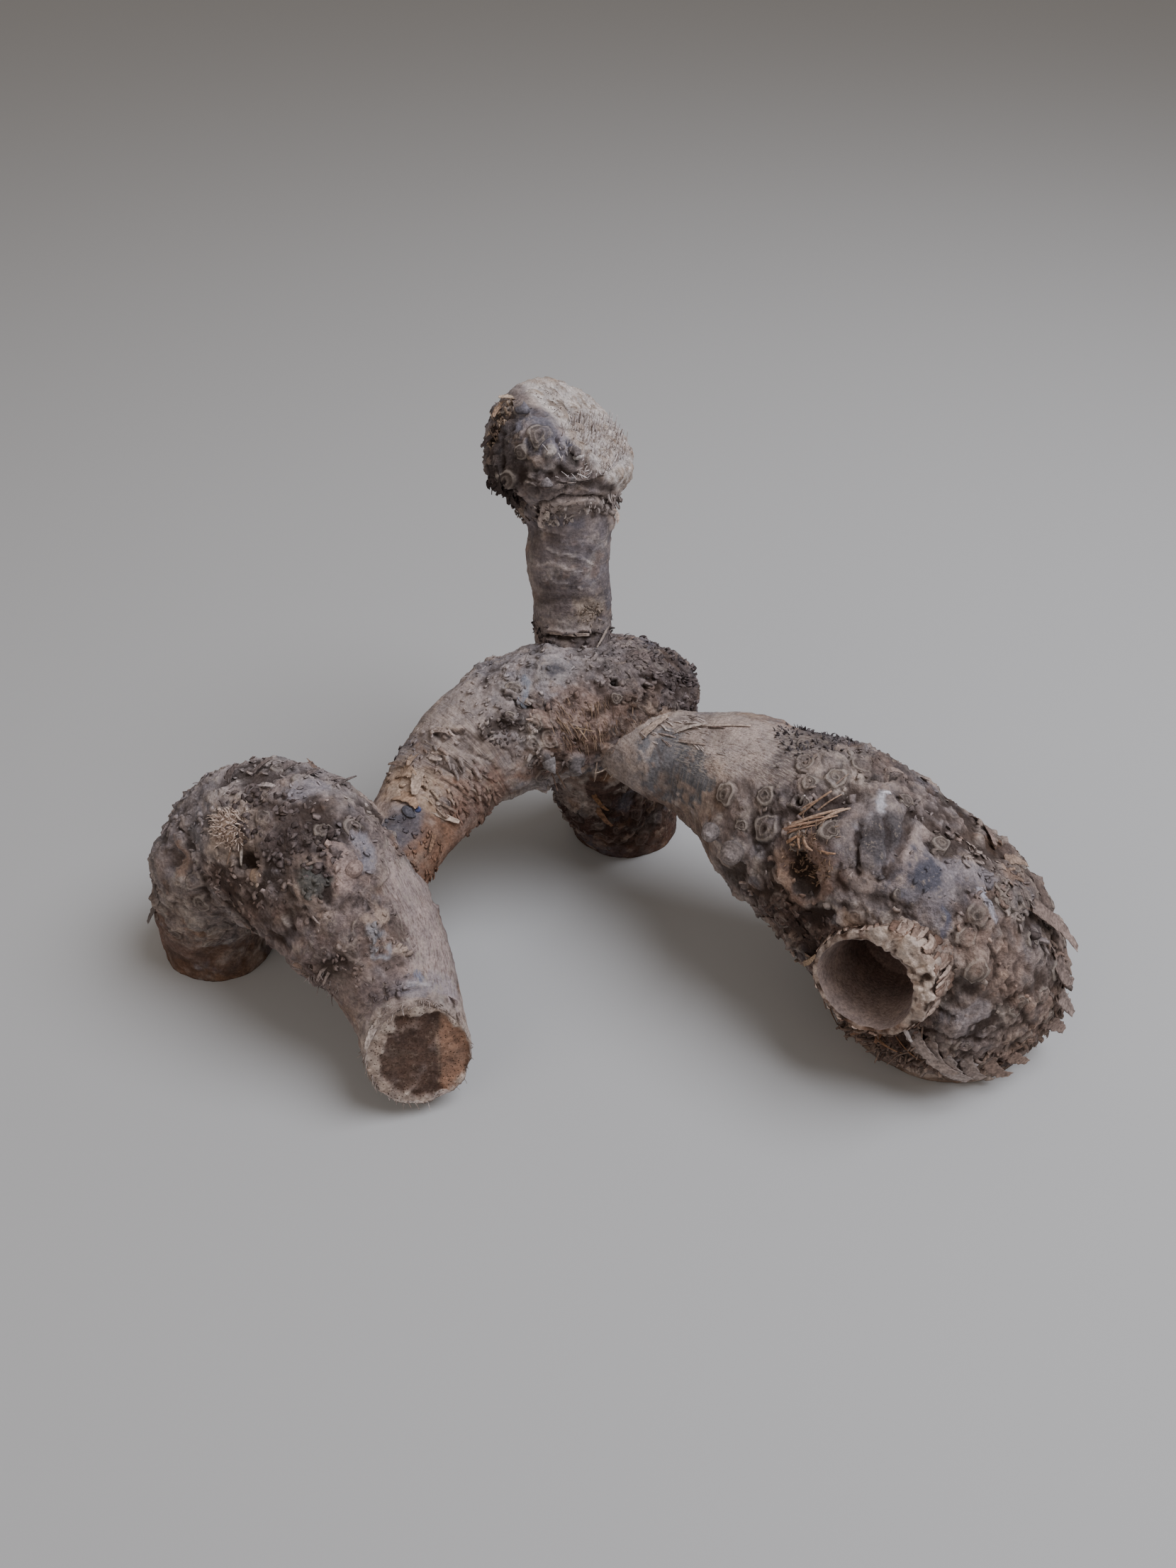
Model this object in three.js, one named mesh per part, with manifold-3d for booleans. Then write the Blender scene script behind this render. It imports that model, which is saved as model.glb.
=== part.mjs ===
// Dry rhizome of a clumping bamboo, as dug up and dried: five swollen limbs on slim ringed necks, grown together
// as one woody piece, with the knobs where its roots broke off and the hollow stub of a cut cane.
// Millimetres, +Z up. The origin is on the ground under the middle of the piece; -Y is the side it is seen from.
import * as THREE from "three";
import { mergeVertices } from "three/addons/utils/BufferGeometryUtils.js";
import Module from "manifold-3d";

const wasm = await Module();
wasm.setup();

// Driving dimensions of the whole piece.
const ROW_STEP = 5.6; // distance between two rows of surface points along a limb
const KNOB_HEIGHT = 2.8; // how far the scar of a broken root stands out
const KNOB_SKEW = 0.24; // how far a knob sits off its regular place, as a share of the step
const KNOB_MISSING = 0.22; // share of the places that hold no knob
const RING_HEIGHT = 0.7; // how far a leaf scar ring stands out of a neck
const CUT_REACH = 1.3; // a limb turns towards a cut's plane over this many radii
const FLAP_THICKNESS = 1.6; // dried sheath that still stands on the wood

// Each limb is a line of stations, [x, y, z, radius], from one end to the other. side is the direction of angle 0
// round the limb. knobs and rings are stretches as shares of the length. A bump is [along, angle in degrees,
// radius, height], and a dent has a negative height.
const LEFT_LIMB = {
  stations: [
    [-173, -19, 0, 24.5],
    [-172.5, -18, 25, 25],
    [-160, -20, 55, 30],
    [-140, -23, 71, 34],
    [-115, -38, 71, 36],
    [-97, -57, 59, 31],
    [-85, -70, 48, 26],
    [-76, -87, 38, 21],
    [-70, -104, 31, 20.5],
  ],
  side: [0.6, 0.8, 0],
  around: 33,
  knobs: [0.12, 0.8],
  rings: [0.83, 0.97],
  bumps: [
    [130, 122, 12, 3.5],
    [128, 102, 9, 3],
    [105, 142, 13, -6],
    [68, 162, 11, -4.5],
    [97, 128, 10, 2.5],
  ],
  startCut: [0, 0, -1],
  endCut: [0.26, -0.93, 0.24],
  seed: 1,
};
const MIDDLE_LIMB = {
  stations: [
    [-83, -29, 70, 18],
    [-74, -10, 73, 20.5],
    [-65, 5, 79, 23],
    [-54, 17, 86, 26],
    [-36, 30, 91, 28.5],
    [-16, 38, 93, 30],
    [4, 45, 89, 31],
    [24, 51, 83, 30],
    [39, 53, 79, 23],
  ],
  side: [0, 0, 1],
  around: 30,
  knobs: [0.42, 1],
  rings: [0.12, 0.42],
  bumps: [
    [97, 20, 9, 3],
    [105, 60, 18, -2],
    [83, 90, 7, 3],
    [99, 102, 7, 3],
    [75, 38, 9, 2],
  ],
  seed: 2,
};
const REAR_LIMB = {
  stations: [
    [-6, 43, 84, 22],
    [2, 49, 55, 25],
    [11, 57, 28, 27],
    [16, 62, 0, 26],
  ],
  side: [0, -1, 0],
  around: 24,
  knobs: [0.3, 0.88],
  bumps: [],
  endCut: [0, 0, -1],
  seed: 3,
};
const TOP_LIMB = {
  stations: [
    [-11, 54, 108, 17],
    [-10, 56, 124, 16],
    [-10, 60, 141, 16.5],
    [-11, 64, 155, 18],
    [-10, 68, 168, 18.5],
    [-11, 71, 177, 21.5],
    [-12, 74, 187, 29],
    [-13, 76, 197, 32],
    [-13, 76, 208, 30.5],
    [-13, 76, 217, 25],
    [-13, 76, 225, 13],
  ],
  side: [0, -1, 0],
  around: 27,
  knobs: [0.66, 0.96],
  rings: [0.1, 0.55],
  bumps: [
    [89, 350, 8, 3],
    [79, 346, 9, 1.8],
    [77, 18, 9, 1.8],
    [66, 72, 9, 1.8],
    [92, 300, 12, 3],
  ],
  seed: 4,
};
const RIGHT_LIMB = {
  stations: [
    [16, 24, 84, 15],
    [27, 17, 84, 19],
    [44, 10, 84, 23.5],
    [62, 0, 84, 30],
    [82, -17, 79.5, 37.5],
    [104, -35, 72.5, 43.5],
    [124, -50, 59.5, 47.5],
    [140, -57, 42, 49],
    [148, -56, 20, 47.5],
    [151, -54, 0, 43],
  ],
  side: [0.45, 0.9, 0],
  around: 42,
  knobs: [0.3, 0.97],
  rings: [0.08, 0.28],
  bumps: [
    [63, 174, 8, 3.5],
    [76, 170, 8, 4],
    [101, 156, 13, -5.5],
    [101, 138, 8, 3],
    [106, 102, 9, 2.5],
    [110, 115, 9, 3],
    [114, 130, 9, 3.5],
    [125, 120, 10, 2],
    [52, 112, 22, -1.5],
    [140, 116, 8, 2.5],
    [149, 132, 8, 2.5],
    [138, 176, 42, -4.5],
  ],
  endCut: [0, 0, -1],
  seed: 5,
};

// The stub of a cut cane on the right limb: a cup from inside the limb out to its rim, with the wall thick on the
// side of toThick. rag is how unevenly the rim is torn.
const STUB = {
  base: [130, -56, 56],
  rim: [102, -94, 67],
  radius: 23,
  hole: 18.5,
  offset: 3,
  depth: 38,
  rag: 2.2,
  toThick: [0.8, 0.3, 0.6],
};

// The flat oblique face where the cane on the top limb was cut off: a point of its plane, and its outward normal.
const OBLIQUE_CUT = { point: [-5, 75, 210.5], normal: [0.57, -0.07, 0.82] };

// Broken roots that stand out as short pegs: limb, along, angle in degrees, radius, length.
const PEGS = [
  [TOP_LIMB, 95, 290, 4.5, 8],
  [TOP_LIMB, 87, 312, 3.5, 8],
  [TOP_LIMB, 81, 320, 3, 7],
  [TOP_LIMB, 84, 280, 3.5, 8],
  [LEFT_LIMB, 60, 205, 3.5, 7],
  [LEFT_LIMB, 95, 215, 3.5, 7],
  [MIDDLE_LIMB, 120, 20, 4, 7],
  [MIDDLE_LIMB, 84, 96, 3, 7],
  [MIDDLE_LIMB, 112, 118, 3, 7],
  [REAR_LIMB, 50, 40, 3.5, 7],
  [RIGHT_LIMB, 150, 60, 4, 7],
  [RIGHT_LIMB, 172, 88, 4, 7],
  [RIGHT_LIMB, 112, 205, 4, 8],
  [RIGHT_LIMB, 92, 192, 4, 7],
  [RIGHT_LIMB, 135, 15, 4, 7],
  [RIGHT_LIMB, 90, 320, 4, 7],
];

// Dried sheath that stands off the wood: limb, along, angle in degrees, length, width, and how far it leans along
// the limb, from 0, straight out, to 1, lying along it.
const FLAPS = [
  [MIDDLE_LIMB, 24, 350, 14, 20, 0.75],
  [MIDDLE_LIMB, 18, 45, 13, 13, 0.85],
  [RIGHT_LIMB, 155, 86, 14, 9, 0.55],
  [LEFT_LIMB, 128, 60, 10, 8, 0.6],
  [LEFT_LIMB, 92, 60, 9, 8, 0.6],
  [RIGHT_LIMB, 112, 78, 9, 9, 0.6],
];

const vector = (list) => new THREE.Vector3(...list);
const smooth = (x) => {
  const t = Math.min(Math.max(x, 0), 1);
  return t * t * (3 - 2 * t);
};
// A repeatable draw from 0 to 1 for the pair (a, b).
const draw = (a, b) => {
  const x = Math.sin(a * 127.1 + b * 311.7) * 43758.5453;
  return x - Math.floor(x);
};
const remainder = (a, b) => ((a % b) + b) % b;

// A value between the stations: the same curve through four neighbours that the centre line follows.
function between(values, t) {
  const at = t * (values.length - 1);
  const i = Math.min(Math.floor(at), values.length - 2);
  const x = at - i;
  const [p1, p2] = [values[i], values[i + 1]];
  const p0 = i > 0 ? values[i - 1] : 2 * p1 - p2;
  const p3 = i + 2 < values.length ? values[i + 2] : 2 * p2 - p1;
  return 0.5 * (2 * p1 + (p2 - p0) * x + (2 * p0 - 5 * p1 + 4 * p2 - p3) * x * x
    + (3 * p1 - p0 - 3 * p2 + p3) * x * x * x);
}

// How much wider than its round section a limb is at this length and angle: three slow waves round it.
function swell(seed, along, angle) {
  return 1
    + 0.035 * Math.sin(angle + seed * 1.7 + along / 31)
    + 0.03 * Math.sin(2 * angle + seed * 2.9 - along / 23)
    + 0.02 * Math.sin(3 * angle + seed * 0.8 + along / 14);
}

for (const limb of [LEFT_LIMB, MIDDLE_LIMB, REAR_LIMB, TOP_LIMB, RIGHT_LIMB]) {
  limb.curve = new THREE.CatmullRomCurve3(limb.stations.map((s) => vector(s)), false, "catmullrom", 0.5);
  limb.radii = limb.stations.map((s) => s[3]);
  limb.length = limb.curve.getLength();
}

// The round section of a limb at a share of its length: its centre, its direction, and the axes of angle 0 and 90.
function sectionAt(limb, share) {
  const t = limb.curve.getUtoTmapping(share);
  const tangent = limb.curve.getTangent(t);
  const side = vector(limb.side);
  const first = side.addScaledVector(tangent, -side.dot(tangent)).normalize();
  return {
    along: share * limb.length,
    centre: limb.curve.getPoint(t),
    radius: between(limb.radii, t),
    tangent,
    first,
    second: tangent.clone().cross(first),
  };
}

// How far the surface lies from the centre line, with its swells, bumps and dents.
function reach(limb, section, angle) {
  let out = section.radius * swell(limb.seed, section.along, angle);
  for (const [along, degrees, radius, height] of limb.bumps) {
    const turn = remainder(angle - THREE.MathUtils.degToRad(degrees) + Math.PI, 2 * Math.PI) - Math.PI;
    out += height * smooth(1 - Math.hypot(section.along - along, turn * section.radius) / radius);
  }
  return out;
}

function outward(section, angle) {
  return section.first.clone().multiplyScalar(Math.cos(angle)).addScaledVector(section.second, Math.sin(angle));
}

// How strongly a stretch of a limb applies at a share of its length, fading at both ends.
function within(stretch, share) {
  return stretch ? smooth((share - stretch[0]) / 0.08) * smooth((stretch[1] - share) / 0.05) : 0;
}

// A limb's closed surface: rows of points round the centre line, every second row turned by half a step, so that
// each point has six neighbours. Every third point may be a knob, and every second row of a neck is a ring.
function limbSolid(limb) {
  const rows = Math.round(limb.length / ROW_STEP);
  const positions = [];
  const faces = [];
  const centres = [];
  for (let i = 0; i <= rows; i++) {
    const share = i / rows;
    const section = sectionAt(limb, share);
    const knobby = within(limb.knobs, share);
    const ring = i % 2 === 0 ? RING_HEIGHT * within(limb.rings, share) : 0;
    centres.push(section.centre);
    for (let j = 0; j < limb.around; j++) {
      const knob = remainder(j - (i - (i % 2)) / 2 - i, 3) === 0 && draw(i * 3 + limb.seed, j) > KNOB_MISSING;
      const skew = knob ? (draw(i + limb.seed, j) - 0.5) * 2 * KNOB_SKEW : 0;
      const angle = (2 * Math.PI * (j + (i % 2) / 2 + skew)) / limb.around;
      const raise = knob ? KNOB_HEIGHT * knobby * (0.4 + 0.8 * draw(j, i + limb.seed)) : 0;
      const point = section.centre.clone()
        .addScaledVector(outward(section, angle), reach(limb, section, angle) + ring + raise);
      const span = CUT_REACH * section.radius;
      lean(point, section, limb.startCut, smooth(1 - section.along / span));
      lean(point, section, limb.endCut, smooth(1 - (limb.length - section.along) / span));
      positions.push(point.x, point.y, point.z);
    }
  }
  const index = (i, j) => i * limb.around + remainder(j, limb.around);
  for (let i = 0; i < rows; i++) {
    for (let j = 0; j < limb.around; j++) {
      const [a, b] = [index(i, j), index(i, j + 1)];
      const [c, d] = [index(i + 1, j), index(i + 1, j + 1)];
      if (i % 2) faces.push(a, b, d, a, d, c);
      else faces.push(a, b, c, b, d, c);
    }
  }
  for (const row of [0, rows]) {
    const hub = positions.length / 3;
    positions.push(...centres[row].toArray());
    for (let j = 0; j < limb.around; j++) {
      const [a, b] = [index(row, j), index(row, j + 1)];
      if (row === 0) faces.push(hub, b, a);
      else faces.push(hub, a, b);
    }
  }
  return solidFrom(positions, faces);
}

// Slides a point along the limb, so that at weight 1 it lies in the cut's plane through the row's centre.
function lean(point, section, normal, weight) {
  if (!normal || weight <= 0) return;
  const n = vector(normal).normalize();
  const off = point.clone().sub(section.centre).dot(n) / section.tangent.dot(n);
  point.addScaledVector(section.tangent, -off * weight);
}

function solidFrom(positions, faces) {
  return new wasm.Manifold(new wasm.Mesh({
    numProp: 3,
    vertProperties: new Float32Array(positions),
    triVerts: new Uint32Array(faces),
  }));
}

// A closed three.js geometry as a solid, with its shared corners merged.
function solidOf(geometry) {
  const bare = geometry.clone();
  bare.deleteAttribute("normal");
  bare.deleteAttribute("uv");
  const merged = mergeVertices(bare, 1e-4);
  return solidFrom(merged.attributes.position.array, merged.index.array);
}

// The stub's outer wall, with its torn rim, and the hollow inside it.
function stub() {
  const axis = vector(STUB.rim).sub(vector(STUB.base));
  const height = axis.length();
  axis.normalize();
  const turn = new THREE.Quaternion().setFromUnitVectors(new THREE.Vector3(0, 1, 0), axis);
  const place = (geometry, from) => solidOf(geometry.applyQuaternion(turn).translate(...from.toArray()));
  const outer = new THREE.CylinderGeometry(STUB.radius, STUB.radius + 5, height, 24, 4).translate(0, height / 2, 0);
  const at = outer.attributes.position;
  for (let k = 0; k < at.count; k++) {
    const corner = Math.round((Math.atan2(at.getX(k), at.getZ(k)) / Math.PI) * 12 + 24) % 24;
    const onRim = Math.hypot(at.getX(k), at.getZ(k)) > 1 && at.getY(k) > height - 0.1;
    if (onRim) at.setY(k, height + STUB.rag * (2 * draw(corner, 7) - 1));
  }
  const away = vector(STUB.toThick).addScaledVector(axis, -vector(STUB.toThick).dot(axis)).normalize();
  const holeFrom = vector(STUB.base).addScaledVector(away, -STUB.offset);
  const inner = new THREE.CylinderGeometry(STUB.hole, STUB.hole - 4, STUB.depth, 20, 1)
    .translate(0, height + 4 - STUB.depth / 2, 0);
  return [place(outer, vector(STUB.base)), place(inner, holeFrom)];
}

// The block whose underside is the oblique cut, to be taken away.
function cutAway() {
  const normal = vector(OBLIQUE_CUT.normal).normalize();
  const turn = new THREE.Quaternion().setFromUnitVectors(new THREE.Vector3(0, 0, 1), normal);
  const block = new THREE.BoxGeometry(90, 90, 60).translate(0, 0, 30).applyQuaternion(turn);
  return solidOf(block.translate(...OBLIQUE_CUT.point));
}

// A six-sided peg, sunk into the limb and slightly narrower at its broken end.
function peg([limb, along, degrees, radius, length]) {
  const section = sectionAt(limb, along / limb.length);
  const angle = THREE.MathUtils.degToRad(degrees);
  const out = outward(section, angle);
  const shape = new THREE.CylinderGeometry(radius * 0.85, radius, length, 6, 1);
  shape.applyQuaternion(new THREE.Quaternion().setFromUnitVectors(new THREE.Vector3(0, 1, 0), out));
  const middle = section.centre.clone().addScaledVector(out, reach(limb, section, angle) + length / 2 - 4);
  return solidOf(shape.translate(...middle.toArray()));
}

// A leaf-shaped plate with its root in the wood: it stands out of the limb and leans along it.
function flap([limb, along, degrees, length, width, leaning]) {
  const section = sectionAt(limb, along / limb.length);
  const angle = THREE.MathUtils.degToRad(degrees);
  const out = outward(section, angle);
  const rise = out.clone().multiplyScalar(1 - leaning).addScaledVector(section.tangent, leaning).normalize();
  const across = section.tangent.clone().cross(out).normalize();
  const sunk = 5;
  const outline = new THREE.Shape();
  outline.moveTo(-width / 2, -sunk);
  outline.lineTo(width / 2, -sunk);
  outline.quadraticCurveTo(width / 2, length * 0.6, width * 0.1, length);
  outline.quadraticCurveTo(-width / 2, length * 0.7, -width / 2, -sunk);
  const plate = new THREE.ExtrudeGeometry(outline, { depth: FLAP_THICKNESS, bevelEnabled: false, curveSegments: 4 });
  const face = across.clone().cross(rise);
  plate.applyMatrix4(new THREE.Matrix4().makeBasis(across, rise, face));
  const root = section.centre.clone().addScaledVector(out, reach(limb, section, angle) - 1);
  return solidOf(plate.translate(...root.toArray()));
}

// One body: whatever a joint closes in is filled, and a loose scrap is dropped.
function largestBody(solid) {
  return solid.decompose().sort((a, b) => b.volume() - a.volume())[0];
}

let rhizome = limbSolid(LEFT_LIMB);
for (const limb of [MIDDLE_LIMB, REAR_LIMB, TOP_LIMB, RIGHT_LIMB]) rhizome = rhizome.add(limbSolid(limb));
rhizome = rhizome.subtract(cutAway());
for (const row of PEGS) rhizome = rhizome.add(peg(row));
for (const row of FLAPS) rhizome = rhizome.add(flap(row));
const [stubWall, stubHollow] = stub();
rhizome = largestBody(rhizome.add(stubWall).subtract(stubHollow));

function geometryOf(solid) {
  const mesh = solid.getMesh();
  return new THREE.BufferGeometry()
    .setAttribute("position", new THREE.BufferAttribute(new Float32Array(mesh.vertProperties), 3))
    .setIndex(new THREE.BufferAttribute(new Uint32Array(mesh.triVerts), 1));
}

const bark = new THREE.MeshStandardMaterial({ color: 0x85716a, roughness: 0.9, metalness: 0 });
const whole = new THREE.Mesh(geometryOf(rhizome), bark);
whole.name = "rhizome";

const part = new THREE.Group();
part.add(whole);
export default part;
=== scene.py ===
# %% [markdown]
# # A dry bamboo rhizome
# A clumping bamboo spreads underground by fat woody limbs on slim ringed necks. Dug up and dried, such a piece is
# covered with the round scars of its broken roots, scraps of dry sheath, torn buds and soil. This lesson dresses the
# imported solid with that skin. It works in millimetres inside numpy and turns to metres where a mesh is made.

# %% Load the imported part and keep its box
import math
from functools import partial
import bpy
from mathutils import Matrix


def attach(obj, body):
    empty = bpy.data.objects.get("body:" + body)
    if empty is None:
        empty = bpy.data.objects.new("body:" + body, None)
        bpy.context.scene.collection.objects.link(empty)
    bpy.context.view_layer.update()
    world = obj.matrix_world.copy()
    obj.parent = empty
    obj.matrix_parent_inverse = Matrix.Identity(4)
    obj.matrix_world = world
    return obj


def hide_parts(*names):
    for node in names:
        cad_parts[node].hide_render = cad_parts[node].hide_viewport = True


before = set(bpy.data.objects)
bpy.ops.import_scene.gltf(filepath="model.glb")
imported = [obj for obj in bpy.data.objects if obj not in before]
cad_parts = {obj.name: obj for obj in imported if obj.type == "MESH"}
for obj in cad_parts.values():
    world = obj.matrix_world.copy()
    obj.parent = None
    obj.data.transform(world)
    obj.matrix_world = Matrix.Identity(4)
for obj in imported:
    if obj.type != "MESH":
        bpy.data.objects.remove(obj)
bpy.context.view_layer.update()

from types import SimpleNamespace

import bpy
import numpy as np

# %% [markdown]
# ## Camera, floor and light
# The camera stands where a phone was held: a little over 40 cm above the ground and just under 40 cm in front, pitched
# 42 degrees down. The light is a large soft disc almost overhead, a weaker and warmer one behind the camera on the
# left, and a dim room all round. So the top of each limb is pale, the ends that face the camera are dim, and the shadow
# under the arch stays soft. A picture of a room could light it too, but two lamps are plain and need no file.

# %% Camera
PITCH = 42  # degrees below level
camera_lens = bpy.data.cameras.new("camera")
camera_lens.sensor_width = 36.0
camera_lens.lens = 27.05  # mm on that sensor: a phone's usual wide lens
camera_lens.clip_start = 0.02
camera = bpy.data.objects.new("camera", camera_lens)
camera.location = (-0.003, -0.376, 0.420)
camera.rotation_euler = (math.radians(90 - PITCH), 0, 0)
bpy.context.scene.collection.objects.link(camera)
bpy.context.scene.camera = camera
print("camera", tuple(round(v, 3) for v in camera.location))

# %% [markdown]
# ## Colours and nodes
# Colours are chosen as they look on a screen, while Blender reckons in linear light, so one function turns them. A
# finish is a net of nodes. One function adds a node with its settings and links, so that a finish reads as a recipe.

# %% Colours and nodes
def linear(hex_colour, alpha=1.0):
    """An sRGB hex colour as linear red, green, blue and alpha: each channel by the sRGB curve."""
    channels = [int(hex_colour[k:k + 2], 16) / 255 for k in (1, 3, 5)]
    return [c / 12.92 if c <= 0.04045 else ((c + 0.055) / 1.055) ** 2.4 for c in channels] + [alpha]


def add_node(tree, kind, output, inputs, **settings):
    """Adds one node and gives one of its outputs. Its inputs, by place or name, are values or outputs of others."""
    node = tree.nodes.new("ShaderNode" + kind)
    for name, value in settings.items():
        setattr(node, name, value)
    for socket, value in inputs.items() if isinstance(inputs, dict) else enumerate(inputs):
        if isinstance(value, bpy.types.NodeSocket):
            tree.links.new(value, node.inputs[socket])
        else:
            node.inputs[socket].default_value = value
    return node.outputs[output]


def new_material(name):
    """An empty material: its node tree, its Principled shader and nothing linked to it yet."""
    material = bpy.data.materials.new(name)
    material.use_nodes = True
    return material, material.node_tree, material.node_tree.nodes["Principled BSDF"]


print("middle grey is", round(linear("#808080")[0], 3), "in linear light")

# %% Floor and lamps
FLOOR = 6.0  # half its side, in metres
paper, tree, shader = new_material("pale_matt_studio_paper")
shader.inputs["Base Color"].default_value = linear("#c3c5c6")
shader.inputs["Roughness"].default_value = 0.85
shader.inputs["Specular IOR Level"].default_value = 0.2
floor_mesh = bpy.data.meshes.new("floor")
floor_mesh.from_pydata([(x * FLOOR, y * FLOOR, 0) for x, y in ((-1, -1), (1, -1), (1, 1), (-1, 1))], [], [(0, 1, 2, 3)])
floor_mesh.materials.append(paper)
floor = bpy.data.objects.new("floor", floor_mesh)
bpy.context.scene.collection.objects.link(floor)

# Name, place, width in metres, watts and colour.
for name, place, size, power, colour in (
    ("key_lamp", (0.62, -0.12, 1.3), 0.95, 17.0, "#f7f8ff"),
    ("fill_lamp", (-1.3, -1.1, 1.0), 1.4, 4.0, "#fff0e4"),
):
    lamp = bpy.data.lights.new(name, "AREA")
    lamp.shape = "DISK"
    lamp.size = size
    lamp.energy = power
    lamp.color = linear(colour)[:3]
    lamp_object = bpy.data.objects.new(name, lamp)
    lamp_object.location = place
    aim = -lamp_object.location.normalized()
    lamp_object.rotation_euler = aim.to_track_quat("-Z", "Y").to_euler()
    bpy.context.scene.collection.objects.link(lamp_object)

world = bpy.data.worlds.new("soft_room_light")
world.use_nodes = True
world.node_tree.nodes["Background"].inputs["Color"].default_value = linear("#ddd2c9")
world.node_tree.nodes["Background"].inputs["Strength"].default_value = 0.385
bpy.context.scene.world = world
print("floor and lamps are up")


# %% [markdown]
# ## Noise and smooth steps
# Bark is rough at every size, from lumps of a centimetre to crumbs of soil. Two kinds of noise draw it: value noise,
# which is random heights on a lattice joined smoothly, and cell noise, which measures the way to the nearest of many
# scattered points and so gives flakes and crumbs. Both work on whole arrays of points. Blender's own textures could do
# the same to a finished mesh, but noise worked out here also reaches the colours and the loose chips, so all agree.

# %% Noise
# The lattice is turned off the axes, so that no straight cut follows it.
LATTICE = np.array([[0.80, 0.36, -0.48], [-0.60, 0.48, -0.64], [0.0, 0.80, 0.60]])


def smooth(x):
    """0 below 0, 1 above 1, and an S-shaped step between them: 3 t squared less 2 t cubed."""
    t = np.clip(x, 0.0, 1.0)
    return t * t * (3 - 2 * t)


def draw(a, b):
    """A repeatable draw from 0 to 1 for the pair (a, b): the fraction of a large sine."""
    x = np.sin(np.asarray(a) * 127.1 + np.asarray(b) * 311.7) * 43758.5453
    return x - np.floor(x)


def lattice_draw(x, y, z, seed):
    """A repeatable draw from 0 to 1 for each whole-number point of a lattice, by mixing its bits."""
    h = (x * 73856093) ^ (y * 19349663) ^ (z * 83492791) ^ (seed * 2654435761)
    h = ((h ^ (h >> 13)) * 1274126177) & 0x7FFFFFFF
    h = ((h ^ (h >> 15)) * 2246822519) & 0x7FFFFFFF
    return ((h ^ (h >> 11)) & 0xFFFFF) / 0xFFFFF


def noise(points, size, seed=0):
    """Value noise from -1 to 1: a draw at each corner of a lattice of this size, blended smoothly between them."""
    cell = points @ LATTICE / size + seed * 7.31
    base = np.floor(cell).astype(np.int64)
    t = smooth(cell - base)
    total = 0.0
    for i in (0, 1):
        for j in (0, 1):
            for k in (0, 1):
                weight = np.abs(1 - i - t[..., 0]) * np.abs(1 - j - t[..., 1]) * np.abs(1 - k - t[..., 2])
                value = lattice_draw(base[..., 0] + i, base[..., 1] + j, base[..., 2] + k, seed)
                total = total + weight * value
    return total * 2 - 1


def rough_noise(points, size, octaves, seed=0):
    """Value noise summed over octaves, each half as large and half as high as the one before, from about -1 to 1."""
    return sum(noise(points, size / 2 ** k, seed + 11 * k) / 2 ** k for k in range(octaves)) / 1.4


def flakes(points, size, seed=0):
    """Each point belongs to the nearest of many scattered spots: its flake's draw, its tilt and the way to its edge."""
    cell = points / size
    base = np.floor(cell).astype(np.int64)
    nearest = np.full(points.shape[:-1], 9.0)
    second, chance, tilt = nearest.copy(), nearest * 0, nearest * 0
    for i in (-1, 0, 1):
        for j in (-1, 0, 1):
            for k in (-1, 0, 1):
                x, y, z = base[..., 0] + i, base[..., 1] + j, base[..., 2] + k
                spot = np.stack([lattice_draw(x, y, z, seed + n) for n in (0, 1, 2)], -1)
                offset = cell - spot - np.stack([x, y, z], -1)
                away = np.linalg.norm(offset, axis=-1)
                closer = away < nearest
                second = np.minimum(second, np.maximum(nearest, away))
                chance = np.where(closer, lattice_draw(x, y, z, seed + 3), chance)
                tilt = np.where(closer, (offset * (2 * spot - 1)).sum(-1), tilt)
                nearest = np.minimum(nearest, away)
    return chance, tilt, second - nearest


print("noise at the origin", round(float(noise(np.zeros((1, 3)), 5.0)[0]), 3))

# %% [markdown]
# ## The five limbs
# Each limb is a line of stations with a radius at each one. A smooth curve runs through them, and a slightly uneven
# ring is carried along it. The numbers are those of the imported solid, so the skin lies where the solid is. A station is
# [x, y, z, radius], and a bump is [along, angle in degrees, radius, height], where a dent has a negative height. Knobs
# and rings are the stretches, as shares of the length, that carry root scars or rings. Side is where angle 0 points,
# around is how many scars a full row would have, and columns is how many points a ring of the skin has. A sculpted
# mesh could be freer, but on a line every point has an address, along and angle, and each mark is placed by it.

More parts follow.
